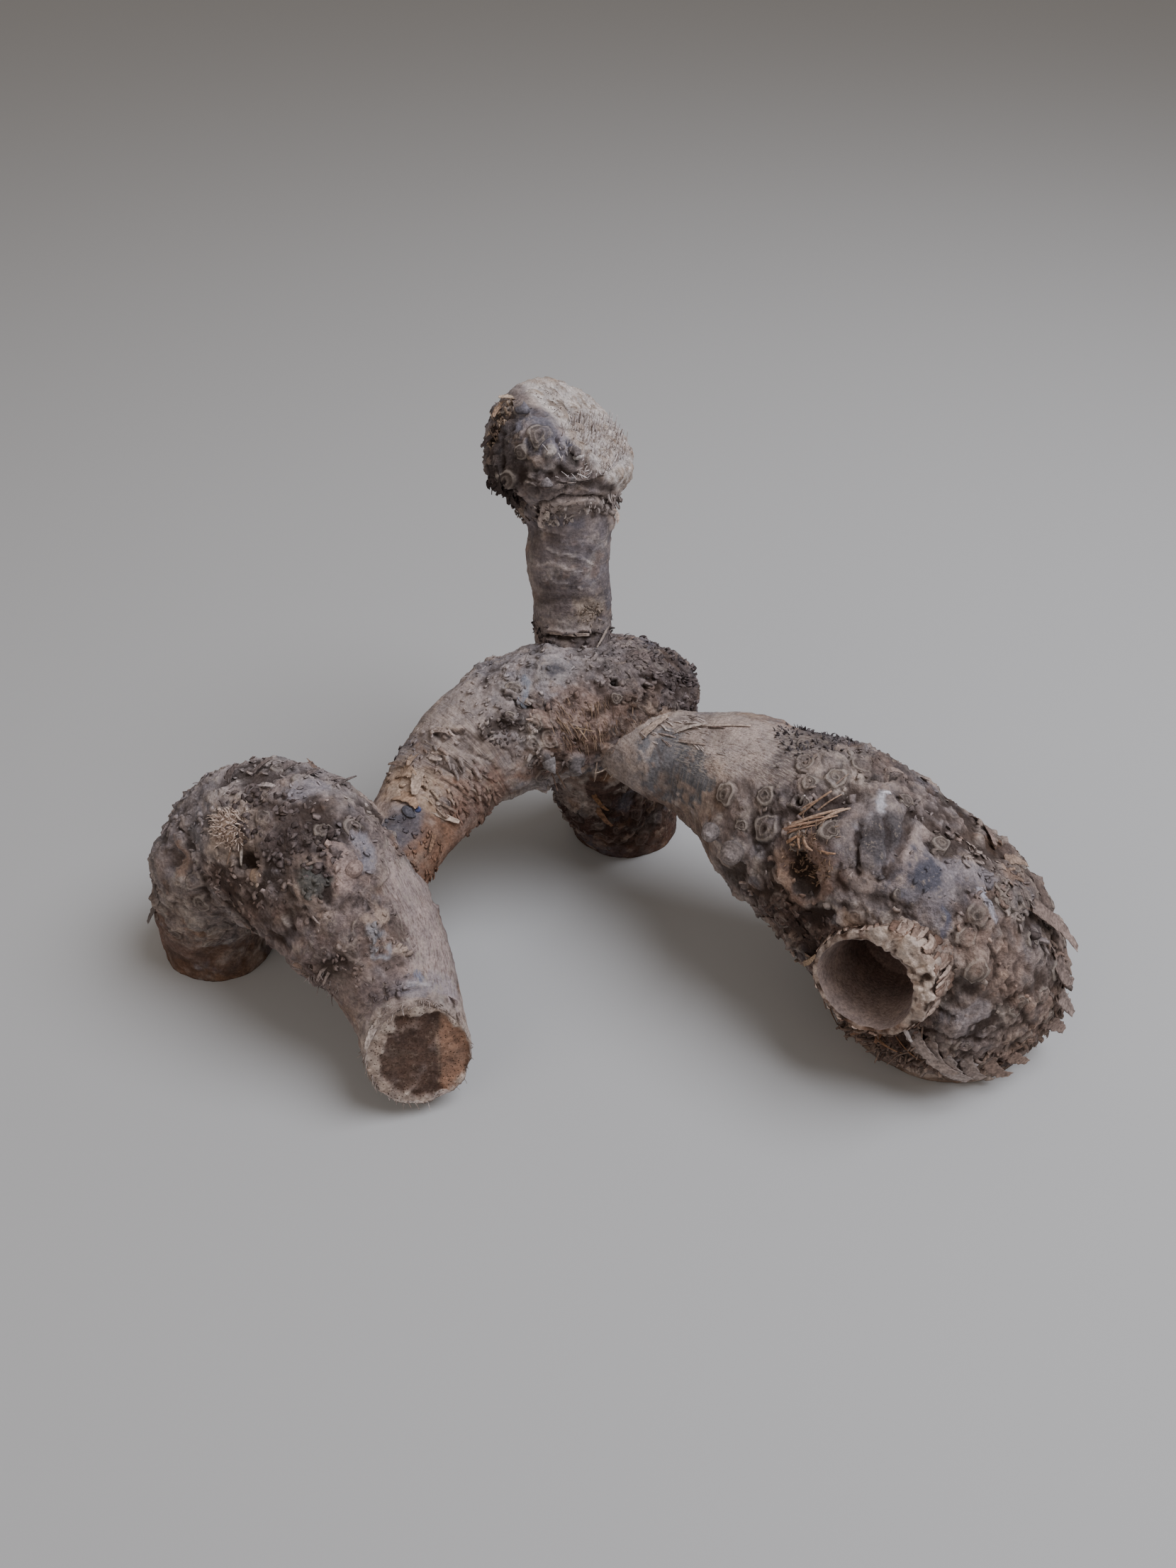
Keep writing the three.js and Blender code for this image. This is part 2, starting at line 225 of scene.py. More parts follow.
# %% Stations
LIMBS = {
    "left": {
        "stations": [[-173, -19, 0, 24.5], [-172.5, -18, 25, 25], [-160, -20, 55, 30], [-140, -23, 71, 34],
                     [-115, -38, 71, 36], [-97, -57, 59, 31], [-85, -70, 48, 26], [-76, -87, 38, 21],
                     [-70, -104, 31, 20.5]],
        "side": [0.6, 0.8, 0], "around": 33, "knobs": [0.12, 0.8], "rings": [0.83, 0.97], "seed": 1,
        "bumps": [[130, 122, 12, 3.5], [128, 102, 9, 3], [105, 142, 13, -6], [68, 162, 11, -4.5], [97, 128, 10, 2.5]],
        "start_cut": [0, 0, -1], "end_cut": [0.26, -0.93, 0.24], "columns": 270,
    },
    "middle": {
        "stations": [[-83, -29, 70, 18], [-74, -10, 73, 20.5], [-65, 5, 79, 23], [-54, 17, 86, 26],
                     [-36, 30, 91, 28.5], [-16, 38, 93, 30], [4, 45, 89, 31], [24, 51, 83, 30], [39, 53, 79, 23]],
        "side": [0, 0, 1], "around": 30, "knobs": [0.42, 1.06], "rings": [0.12, 0.42], "seed": 2,
        "bumps": [[97, 20, 9, 3], [105, 60, 18, -2], [83, 90, 7, 3], [99, 102, 7, 3], [75, 38, 9, 2]],
        "start_cut": None, "end_cut": None, "columns": 280,
    },
    "rear": {
        "stations": [[-6, 43, 84, 22], [2, 49, 55, 25], [11, 57, 28, 27], [16, 62, 0, 26]],
        "side": [0, -1, 0], "around": 24, "knobs": [0.3, 0.88], "rings": None, "seed": 3,
        "bumps": [], "start_cut": None, "end_cut": [0, 0, -1], "columns": 200,
    },
    "top": {
        "stations": [[-11, 54, 108, 17], [-10, 56, 124, 16], [-10, 60, 141, 16.5], [-11, 64, 155, 18],
                     [-10, 68, 168, 18.5], [-11, 71, 177, 21.5], [-12, 74, 187, 29], [-13, 76, 197, 32],
                     [-13, 76, 208, 30.5], [-13, 76, 217, 25], [-13, 76, 225, 13]],
        "side": [0, -1, 0], "around": 27, "knobs": [0.66, 0.96], "rings": [0.1, 0.55], "seed": 4,
        "bumps": [[89, 350, 8, 3], [79, 346, 9, 1.8], [77, 18, 9, 1.8], [66, 72, 9, 1.8], [92, 300, 12, 3]],
        "start_cut": None, "end_cut": None, "columns": 300,
    },
    "right": {
        "stations": [[16, 24, 84, 15], [27, 17, 84, 19], [44, 10, 84, 23.5], [62, 0, 84, 30], [82, -17, 79.5, 37.5],
                     [104, -35, 72.5, 43.5], [124, -50, 59.5, 47.5], [140, -57, 42, 49], [148, -56, 20, 47.5],
                     [151, -54, 0, 43]],
        "side": [0.45, 0.9, 0], "around": 42, "knobs": [0.3, 0.97], "rings": [0.08, 0.28], "seed": 5,
        "bumps": [[63, 174, 8, 3.5], [76, 170, 8, 4], [101, 156, 13, -5.5], [101, 138, 8, 3], [106, 102, 9, 2.5],
                  [110, 115, 9, 3], [114, 130, 9, 3.5], [125, 120, 10, 2], [52, 112, 22, -1.5], [140, 116, 8, 2.5],
                  [149, 132, 8, 2.5], [138, 176, 42, -4.5]],
        "start_cut": None, "end_cut": [0, 0, -1], "columns": 300,
    },
}
OBLIQUE_CUT = {"point": np.array([-5.0, 75.0, 210.5]), "normal": np.array([0.57, -0.07, 0.82])}
OBLIQUE_CUT["normal"] /= np.linalg.norm(OBLIQUE_CUT["normal"])
print("limbs", {name: len(limb["stations"]) for name, limb in LIMBS.items()})


# %% A limb's line and rings
CURVE_STEPS = 401  # steps in which a limb's length is measured
FADE_IN, FADE_OUT = 0.08, 0.05  # shares of the length over which a stretch of knobs or rings begins and ends


def curve_at(values, t):
    """The curve through a list of values at shares t, and its slope: a cubic through each four neighbours."""
    values = np.asarray(values, float)
    padded = np.concatenate([[2 * values[0] - values[1]], values, [2 * values[-1] - values[-2]]])
    at = np.asarray(t) * (len(values) - 1)
    i = np.clip(np.floor(at).astype(int), 0, len(values) - 2)
    x = (at - i).reshape((-1,) + (1,) * (values.ndim - 1))
    a, b, c, d = padded[i], padded[i + 1], padded[i + 2], padded[i + 3]
    place = 0.5 * (2 * b + (c - a) * x + (2 * a - 5 * b + 4 * c - d) * x ** 2 + (3 * b - a - 3 * c + d) * x ** 3)
    slope = 0.5 * ((c - a) + 2 * (2 * a - 5 * b + 4 * c - d) * x + 3 * (3 * b - a - 3 * c + d) * x ** 2)
    return place, slope


def sections(limb, share):
    """The ring at each share of a limb's length: along, centre, tangent, radius and the axes of angle 0 and 90."""
    stations = np.array(limb["stations"], float)
    fine = np.linspace(0, 1, CURVE_STEPS)
    line, _ = curve_at(stations[:, :3], fine)
    walked = np.concatenate([[0], np.cumsum(np.linalg.norm(np.diff(line, axis=0), axis=1))])
    t = np.interp(np.asarray(share) * walked[-1], walked, fine)
    centre, slope = curve_at(stations[:, :3], t)
    tangent = slope / np.linalg.norm(slope, axis=1, keepdims=True)
    first = np.array(limb["side"]) - tangent * (tangent @ np.array(limb["side"]))[:, None]
    first /= np.linalg.norm(first, axis=1, keepdims=True)
    return {"along": np.asarray(share) * walked[-1], "centre": centre, "tangent": tangent,
            "radius": curve_at(stations[:, 3], t)[0], "first": first, "second": np.cross(tangent, first)}


def turn_between(angle, degrees):
    """The signed turn from a direction in degrees to each angle, from minus pi to pi."""
    return np.mod(angle - np.radians(degrees) + np.pi, 2 * np.pi) - np.pi


def reach(limb, along, radius, angle):
    """How far the skin lies from the centre line: the radius times three slow waves, plus the bumps and dents."""
    seed = limb["seed"]
    out = radius * (1 + 0.035 * np.sin(angle + seed * 1.7 + along / 31)
                    + 0.03 * np.sin(2 * angle + seed * 2.9 - along / 23)
                    + 0.02 * np.sin(3 * angle + seed * 0.8 + along / 14))
    for at, degrees, size, height in limb["bumps"]:
        way = np.hypot(along - at, turn_between(angle, degrees) * radius)
        out = out + height * smooth(1 - way / size)
    return out


def within(stretch, share):
    """How strongly a stretch of a limb applies at each share of its length, fading at both ends."""
    share = np.asarray(share, float)
    if stretch is None:
        return share * 0
    return smooth((share - stretch[0]) / FADE_IN) * smooth((stretch[1] - share) / FADE_OUT)


for name, limb in LIMBS.items():
    limb["length"] = float(sections(limb, [1.0])["along"][0])
    print(name, "is", round(limb["length"]), "mm long")

# %% [markdown]
# ## The grid of one limb
# The grid has one row for about every 0.8 mm of length. Both ends are closed with rows that shrink to the middle, as
# a saw cut or a face of old soil would. Near a cut the rows turn smoothly into its plane. The top limb is also sliced
# by a slanting plane, where its cane was shaved off: points above it slide down a line to the middle of the bulb. A
# boolean cut would break the grid, and its points would lose their addresses.

# %% Rows, caps and normals
ROW = 0.8  # mm between rows
CAP_ROWS = 26  # rows that close each end
CUT_REACH = 1.3  # how far from a cut the rows start to turn into its plane, in radii
SLICE_EDGE = 6  # mm on each side of the slice that are rounded


def bare_grid(limb):
    """A limb's smooth skin as a grid: rows by columns, with the length, angle, cap share and radius of each point."""
    rows = int(limb["length"] / ROW)
    share = np.concatenate([np.zeros(CAP_ROWS), np.linspace(0, 1, rows + 1), np.ones(CAP_ROWS)])
    inward = np.linspace(0.04, 1, CAP_ROWS + 1)[:-1]
    cap = np.concatenate([inward, np.ones(rows + 1), inward[::-1]])[:, None]
    ring = sections(limb, share)
    angle = np.linspace(0, 2 * np.pi, limb["columns"], endpoint=False)[None, :]
    along, radius = ring["along"][:, None], ring["radius"][:, None]
    out = reach(limb, along, radius, angle)
    direction = np.cos(angle)[..., None] * ring["first"][:, None] + np.sin(angle)[..., None] * ring["second"][:, None]
    points = ring["centre"][:, None] + out[..., None] * direction
    for cut, gone in ((limb["start_cut"], along), (limb["end_cut"], limb["length"] - along)):
        if cut is not None:
            normal = np.array(cut, float) / np.linalg.norm(cut)
            tilt = (ring["tangent"] @ normal)[:, None]
            off = ((points - ring["centre"][:, None]) @ normal) / np.where(np.abs(tilt) < 0.2, 1, tilt)
            weight = smooth(1 - gone / (CUT_REACH * radius))
            points = points - ring["tangent"][:, None] * (off * weight)[..., None]
    points = ring["centre"][:, None] + (points - ring["centre"][:, None]) * cap[..., None]
    full = np.ones_like(out)
    return {"points": points, "along": along * full, "angle": angle * full, "cap": cap * full,
            "radius": radius * full, "ring": ring}


def slice_off(points, centre, plane):
    """Points above a plane slide along the line to the centre until they lie in it, with a rounded edge."""
    above = (points - plane["point"]) @ plane["normal"]
    above = np.where(above > SLICE_EDGE, above, np.maximum(above + SLICE_EDGE, 0) ** 2 / (4 * SLICE_EDGE))
    whole = (points - centre) @ plane["normal"]
    share = np.where(above > 0, 1 - above / np.where(whole == 0, 1, whole), 1)
    return centre + (points - centre) * share[..., None]


def normals_of(points):
    """The outward normal of each grid point: the step round the ring crossed with the step along the limb."""
    around = np.roll(points, -1, axis=1) - np.roll(points, 1, axis=1)
    along = np.gradient(points, axis=0)
    normal = np.cross(around, along)
    return normal / np.maximum(np.linalg.norm(normal, axis=-1, keepdims=True), 1e-9)


grid = bare_grid(LIMBS["right"])
print("right limb grid", grid["points"].shape[:2])

# %% [markdown]
# ## Root scars
# Every root that broke off left a round scar about 9 mm across: a raised pale rim, a groove, an inner ring and a dot
# where the root's core was. They sit in rows round the swollen bodies. Their places are those of the solid's knobs.
# They could be discs laid on the skin, but real ones are part of it. So the skin keeps, for each point, how far it is
# from the nearest scar in scar radii. The relief and the material both draw the rings from that one number.

# %% Scar places
SCAR_ROW = 5.6  # mm between two rows of scar places
GAPS = 0.22  # share of the places that stay empty


def scar_places(limb):
    """The middle of each root scar, as length and angle, and a draw that later sets its radius, on a staggered lattice
    with every third place taken.
    """
    rows = round(limb["length"] / SCAR_ROW)
    i, j = np.meshgrid(np.arange(rows + 1), np.arange(limb["around"]), indexing="ij")
    odd = i % 2
    taken = np.mod(j - (i - odd) // 2 - i, 3) == 0
    taken &= (draw(i * 3 + limb["seed"], j) > GAPS) & (within(limb["knobs"], i / rows) > 0.4)
    i, j, odd = i[taken], j[taken], odd[taken]
    skew = (draw(i + limb["seed"], j) - 0.5) * 0.48
    return i / rows * limb["length"], 2 * np.pi * (j + odd / 2 + skew) / limb["around"], draw(j, i + limb["seed"])


def on_skin(limb, along, angle):
    """Points of a limb's smooth skin at these lengths and angles."""
    ring = sections(limb, np.asarray(along) / limb["length"])
    out = reach(limb, ring["along"], ring["radius"], angle)[:, None]
    return ring["centre"] + out * (np.cos(angle)[:, None] * ring["first"] + np.sin(angle)[:, None] * ring["second"])


def nearest_scar(points, centres, radii):
    """For each point, its distance to the nearest scar in that scar's radii, up to 2, and the number of that scar."""
    best = np.full(points.shape[:-1], 2.0)
    which = np.zeros(points.shape[:-1], int)
    for number, (centre, radius) in enumerate(zip(centres, radii)):
        way = np.linalg.norm(points - centre, axis=-1) / radius
        closer = way < best
        best[closer] = way[closer]
        which[closer] = number
    return best, which


print("scar places", {name: len(scar_places(limb)[0]) for name, limb in LIMBS.items()})

# %% [markdown]
# ## Marks and colours
# A few places are unlike the rest, and each gets a row in a table: an oval bud like an eye, two white bud balls, torn
# pits and a hole. A mark is [along, angle, half length, half width, dome, rim, pit, middle colour, rim colour], with
# the heights in mm. Colours are those of dry dusty bamboo: grey-brown bark, pale scuffed wood, tan sheath and dark
# soil. They are given as soft room light shows them, and the paint itself is brighter by a fixed share. A few are
# painted light, each noted in its table: the near-black bottoms of a hole and a pit and some dark strokes, scraps
# and chips are painted shade, and one pale stroke is a painted highlight.

# %% Marks
MARKS = {
    "left": [
        [129, 121, 10, 8.5, 1.8, 1.0, 0.8, "#4c4d48", "#8a786a"],
        [106, 142, 7, 6, 0.0, 0.5, 0.4, "#3f322b", "#6a5648"],
        [97, 130, 7, 7, 1.6, 0.0, 0.0, "#a08b78", "#7d6a5c"],
    ],
    "middle": [
        # Its near-black middle is painted shade at the bottom of a 4 mm hole.
        [116, 36, 2.6, 2.6, 0.0, 0.5, 4.0, "#0b0807", "#8f837b"],
        [97, 22, 5.6, 5.4, 0.5, 0.5, 0.5, "#474548", "#948d88"],
        [83, 88, 4.5, 4.5, 1.4, 0.5, 0.0, "#5d5754", "#8a817a"],
        [99, 100, 4.5, 4.5, 1.6, 0.5, 0.0, "#55514f", "#857c76"],
    ],
    "rear": [],
    "top": [
        [106, 350, 3.6, 3.6, 1.2, 0.0, 0.0, "#b5aca4", "#5d534e"],
        [104, 9, 4.6, 4.6, 0.8, 0.6, 0.6, "#35302d", "#6b615b"],
        [110, 8, 3, 4, 0.2, 0.2, 0.6, "#42434c", "#8a8482"],
        [92, 350, 3.6, 3.6, 1.2, 0.2, 0.0, "#7f7875", "#615751"],
        [92, 6, 2.2, 2.2, 0.8, 0.2, 0.0, "#938a84", "#615751"],
    ],
    "right": [
        [63, 174, 4.4, 4.4, 1.6, 0.2, 0.0, "#8a807a", "#3c322d"],
        [76, 170, 5.6, 5.6, 1.8, 0.2, 0.0, "#837972", "#3c322d"],
        # Its near-black middle is painted shade at the bottom of the pit.
        [86, 126, 2.4, 2.4, 0.0, 0.4, 2.6, "#120d0b", "#6f655d"],
        [110, 121, 8.5, 16, 2.4, 0.9, 0.3, "#4d4847", "#7d726c"],
        [125, 121, 9, 9, 1.9, 0.5, 0.0, "#4b4b53", "#807876"],
    ],
}
print("marks", {name: len(rows) for name, rows in MARKS.items()})

# %% Tones along a limb, and patches
# A tone is (share of the length, colour). A patch is [along, angle, half length, half width, colour, strength].
TONES = {
    "left": [(0.0, "#6b5241"), (0.16, "#74665e"), (0.3, "#83776f"), (0.45, "#a0958f"), (0.62, "#7b6d66"),
             (0.78, "#81736d"), (0.9, "#8d8079"), (1.0, "#93857a")],
    "middle": [(0.0, "#8a7668"), (0.2, "#8a7c74"), (0.35, "#8c8078"), (0.6, "#908883"), (0.8, "#766b66"),
               (1.0, "#5a4f49")],
    "rear": [(0.0, "#46352c"), (0.5, "#43302a"), (1.0, "#463128")],
    "top": [(0.0, "#6b5f57"), (0.15, "#6d6461"), (0.55, "#746b69"), (0.68, "#8a7e77"), (0.8, "#7a6f69"),
            (1.0, "#8a807a")],
    "right": [(0.0, "#8a7b6f"), (0.2, "#93867c"), (0.35, "#867a73"), (0.5, "#776b64"), (0.75, "#85786f"),
              (0.9, "#8b7a6c"), (1.0, "#7a6554")],
}
PATCHES = {
    "left": [
        [96, 129, 12, 13, "#b09d8a", 0.8], [162, 60, 30, 15, "#a7958d", 0.85], [112, 112, 16, 16, "#4d413c", 0.65],
        [62, 122, 30, 26, "#7b7371", 0.7], [20, 150, 20, 50, "#5c4232", 0.75], [105, 178, 26, 16, "#5f4a3e", 0.6],
        [152, 110, 20, 14, "#6b5b52", 0.5], [186, 90, 8, 18, "#7d7b82", 0.5], [100, 70, 16, 20, "#9a8f89", 0.5],
        [168, 160, 28, 18, "#65544b", 0.65], [72, 150, 14, 14, "#8a7f7a", 0.55],
        [132, 98, 14, 14, "#8d7f78", 0.4], [185, 132, 14, 15, "#655956", 0.6], [119, 119, 7, 9, "#443a37", 0.7],
    ],
    "middle": [
        [102, 62, 20, 17, "#8a7061", 0.75], [30, 88, 30, 18, "#785846", 0.7], [6, 72, 14, 18, "#775844", 0.75],
        [120, 20, 18, 18, "#7d716b", 0.5], [150, 30, 14, 30, "#554b47", 0.75], [85, 352, 32, 18, "#9f9692", 0.6],
        [60, 6, 18, 16, "#9a8c82", 0.6], [22, 350, 12, 20, "#b0977d", 0.6], [6, 18, 7, 8, "#56565c", 0.8],
        [128, 66, 14, 16, "#5b4739", 0.6], [92, 96, 24, 10, "#6b4f3d", 0.6],
    ],
    "rear": [[60, 10, 18, 20, "#38251d", 0.5], [80, 340, 12, 20, "#4f372b", 0.6]],
    "top": [
        [102, 320, 15, 20, "#3c3330", 0.7], [90, 0, 10, 22, "#5a504c", 0.6], [110, 348, 8, 16, "#74737a", 0.6],
        [34, 5, 7, 14, "#564c49", 0.6], [29, 30, 6, 7, "#a0907f", 0.7], [22, 0, 5, 22, "#847970", 0.5],
        [68, 0, 4, 9, "#79767c", 0.6], [74, 30, 6, 26, "#9c8d80", 0.5],
    ],
    "right": [
        [34, 208, 26, 10, "#594538", 0.7], [9, 150, 8, 22, "#968a80", 0.7], [50, 106, 26, 18, "#b09f93", 0.9],
        [44, 158, 14, 14, "#9a8675", 0.7],
        [125, 120, 13, 11, "#63626a", 0.7], [100, 152, 13, 12, "#73584a", 0.7], [118, 186, 30, 18, "#4d3a31", 0.8],
        [150, 200, 26, 24, "#432d22", 0.8], [72, 84, 10, 26, "#57504d", 0.7], [84, 134, 16, 18, "#665b56", 0.55],
        [152, 110, 24, 22, "#8d7f77", 0.35], [178, 120, 18, 60, "#7d6759", 0.5], [172, 180, 16, 20, "#4a362c", 0.7],
        [118, 84, 20, 14, "#93837a", 0.45], [114, 118, 16, 16, "#625d5d", 0.5],
        [150, 124, 12, 12, "#967a67", 0.5], [165, 150, 14, 14, "#8f837c", 0.5],
    ],
}
print("patches", {name: len(rows) for name, rows in PATCHES.items()})

# %% Bare wood and root scars
# Where the bark was scuffed off: [along, angle, half length, half width].
BARE = {
    "left": [[160, 60, 30, 15]], "middle": [], "rear": [], "top": [], "right": [[48, 106, 30, 20]],
}
# Where the root scars show: [along, angle, half length, half width, strength]. Elsewhere soil hides most of them.
SCARRED = {
    "left": [[118, 105, 36, 26, 0.6], [60, 185, 40, 50, 0.6]],
    "middle": [[76, 58, 16, 26, 0.7], [92, 100, 16, 12, 0.8]],
    "rear": [[55, 0, 30, 40, 0.2]],
    "top": [[102, 335, 16, 28, 0.9]],
    "right": [[80, 128, 24, 30, 1.0], [152, 118, 42, 52, 0.95], [100, 195, 40, 20, 0.6]],
}
# Scars that stand out, seen one by one: [along, angle, radius].
SCARS = {
    "right": [
        [140, 118, 5.2], [142, 128, 4.2], [149, 134, 4.8], [91, 104, 4.8], [101, 130, 5.2], [126, 134, 4.5],
        [85, 114, 3.4], [74, 134, 4.2], [87, 126, 4.4], [81, 150, 6], [59, 150, 4.6], [73, 158, 3.2], [110, 94, 4],
        [124, 102, 4], [166, 110, 4.6], [165, 96, 4.4], [163, 124, 4], [142, 96, 4], [144, 104, 3.8], [178, 120, 4],
    ],
    "middle": [[73, 40, 3.4], [116, 48, 3], [81, 22, 4.2]],
    "top": [[111, 340, 5], [115, 308, 3.6], [105, 328, 3.4], [114, 284, 3.4]],
    "left": [[122, 82, 4.6], [119, 98, 3.8], [104, 78, 4.6], [95, 76, 4], [90, 124, 3.6]],
    "rear": [],
}
print("scars of their own", {name: len(rows) for name, rows in SCARS.items()})

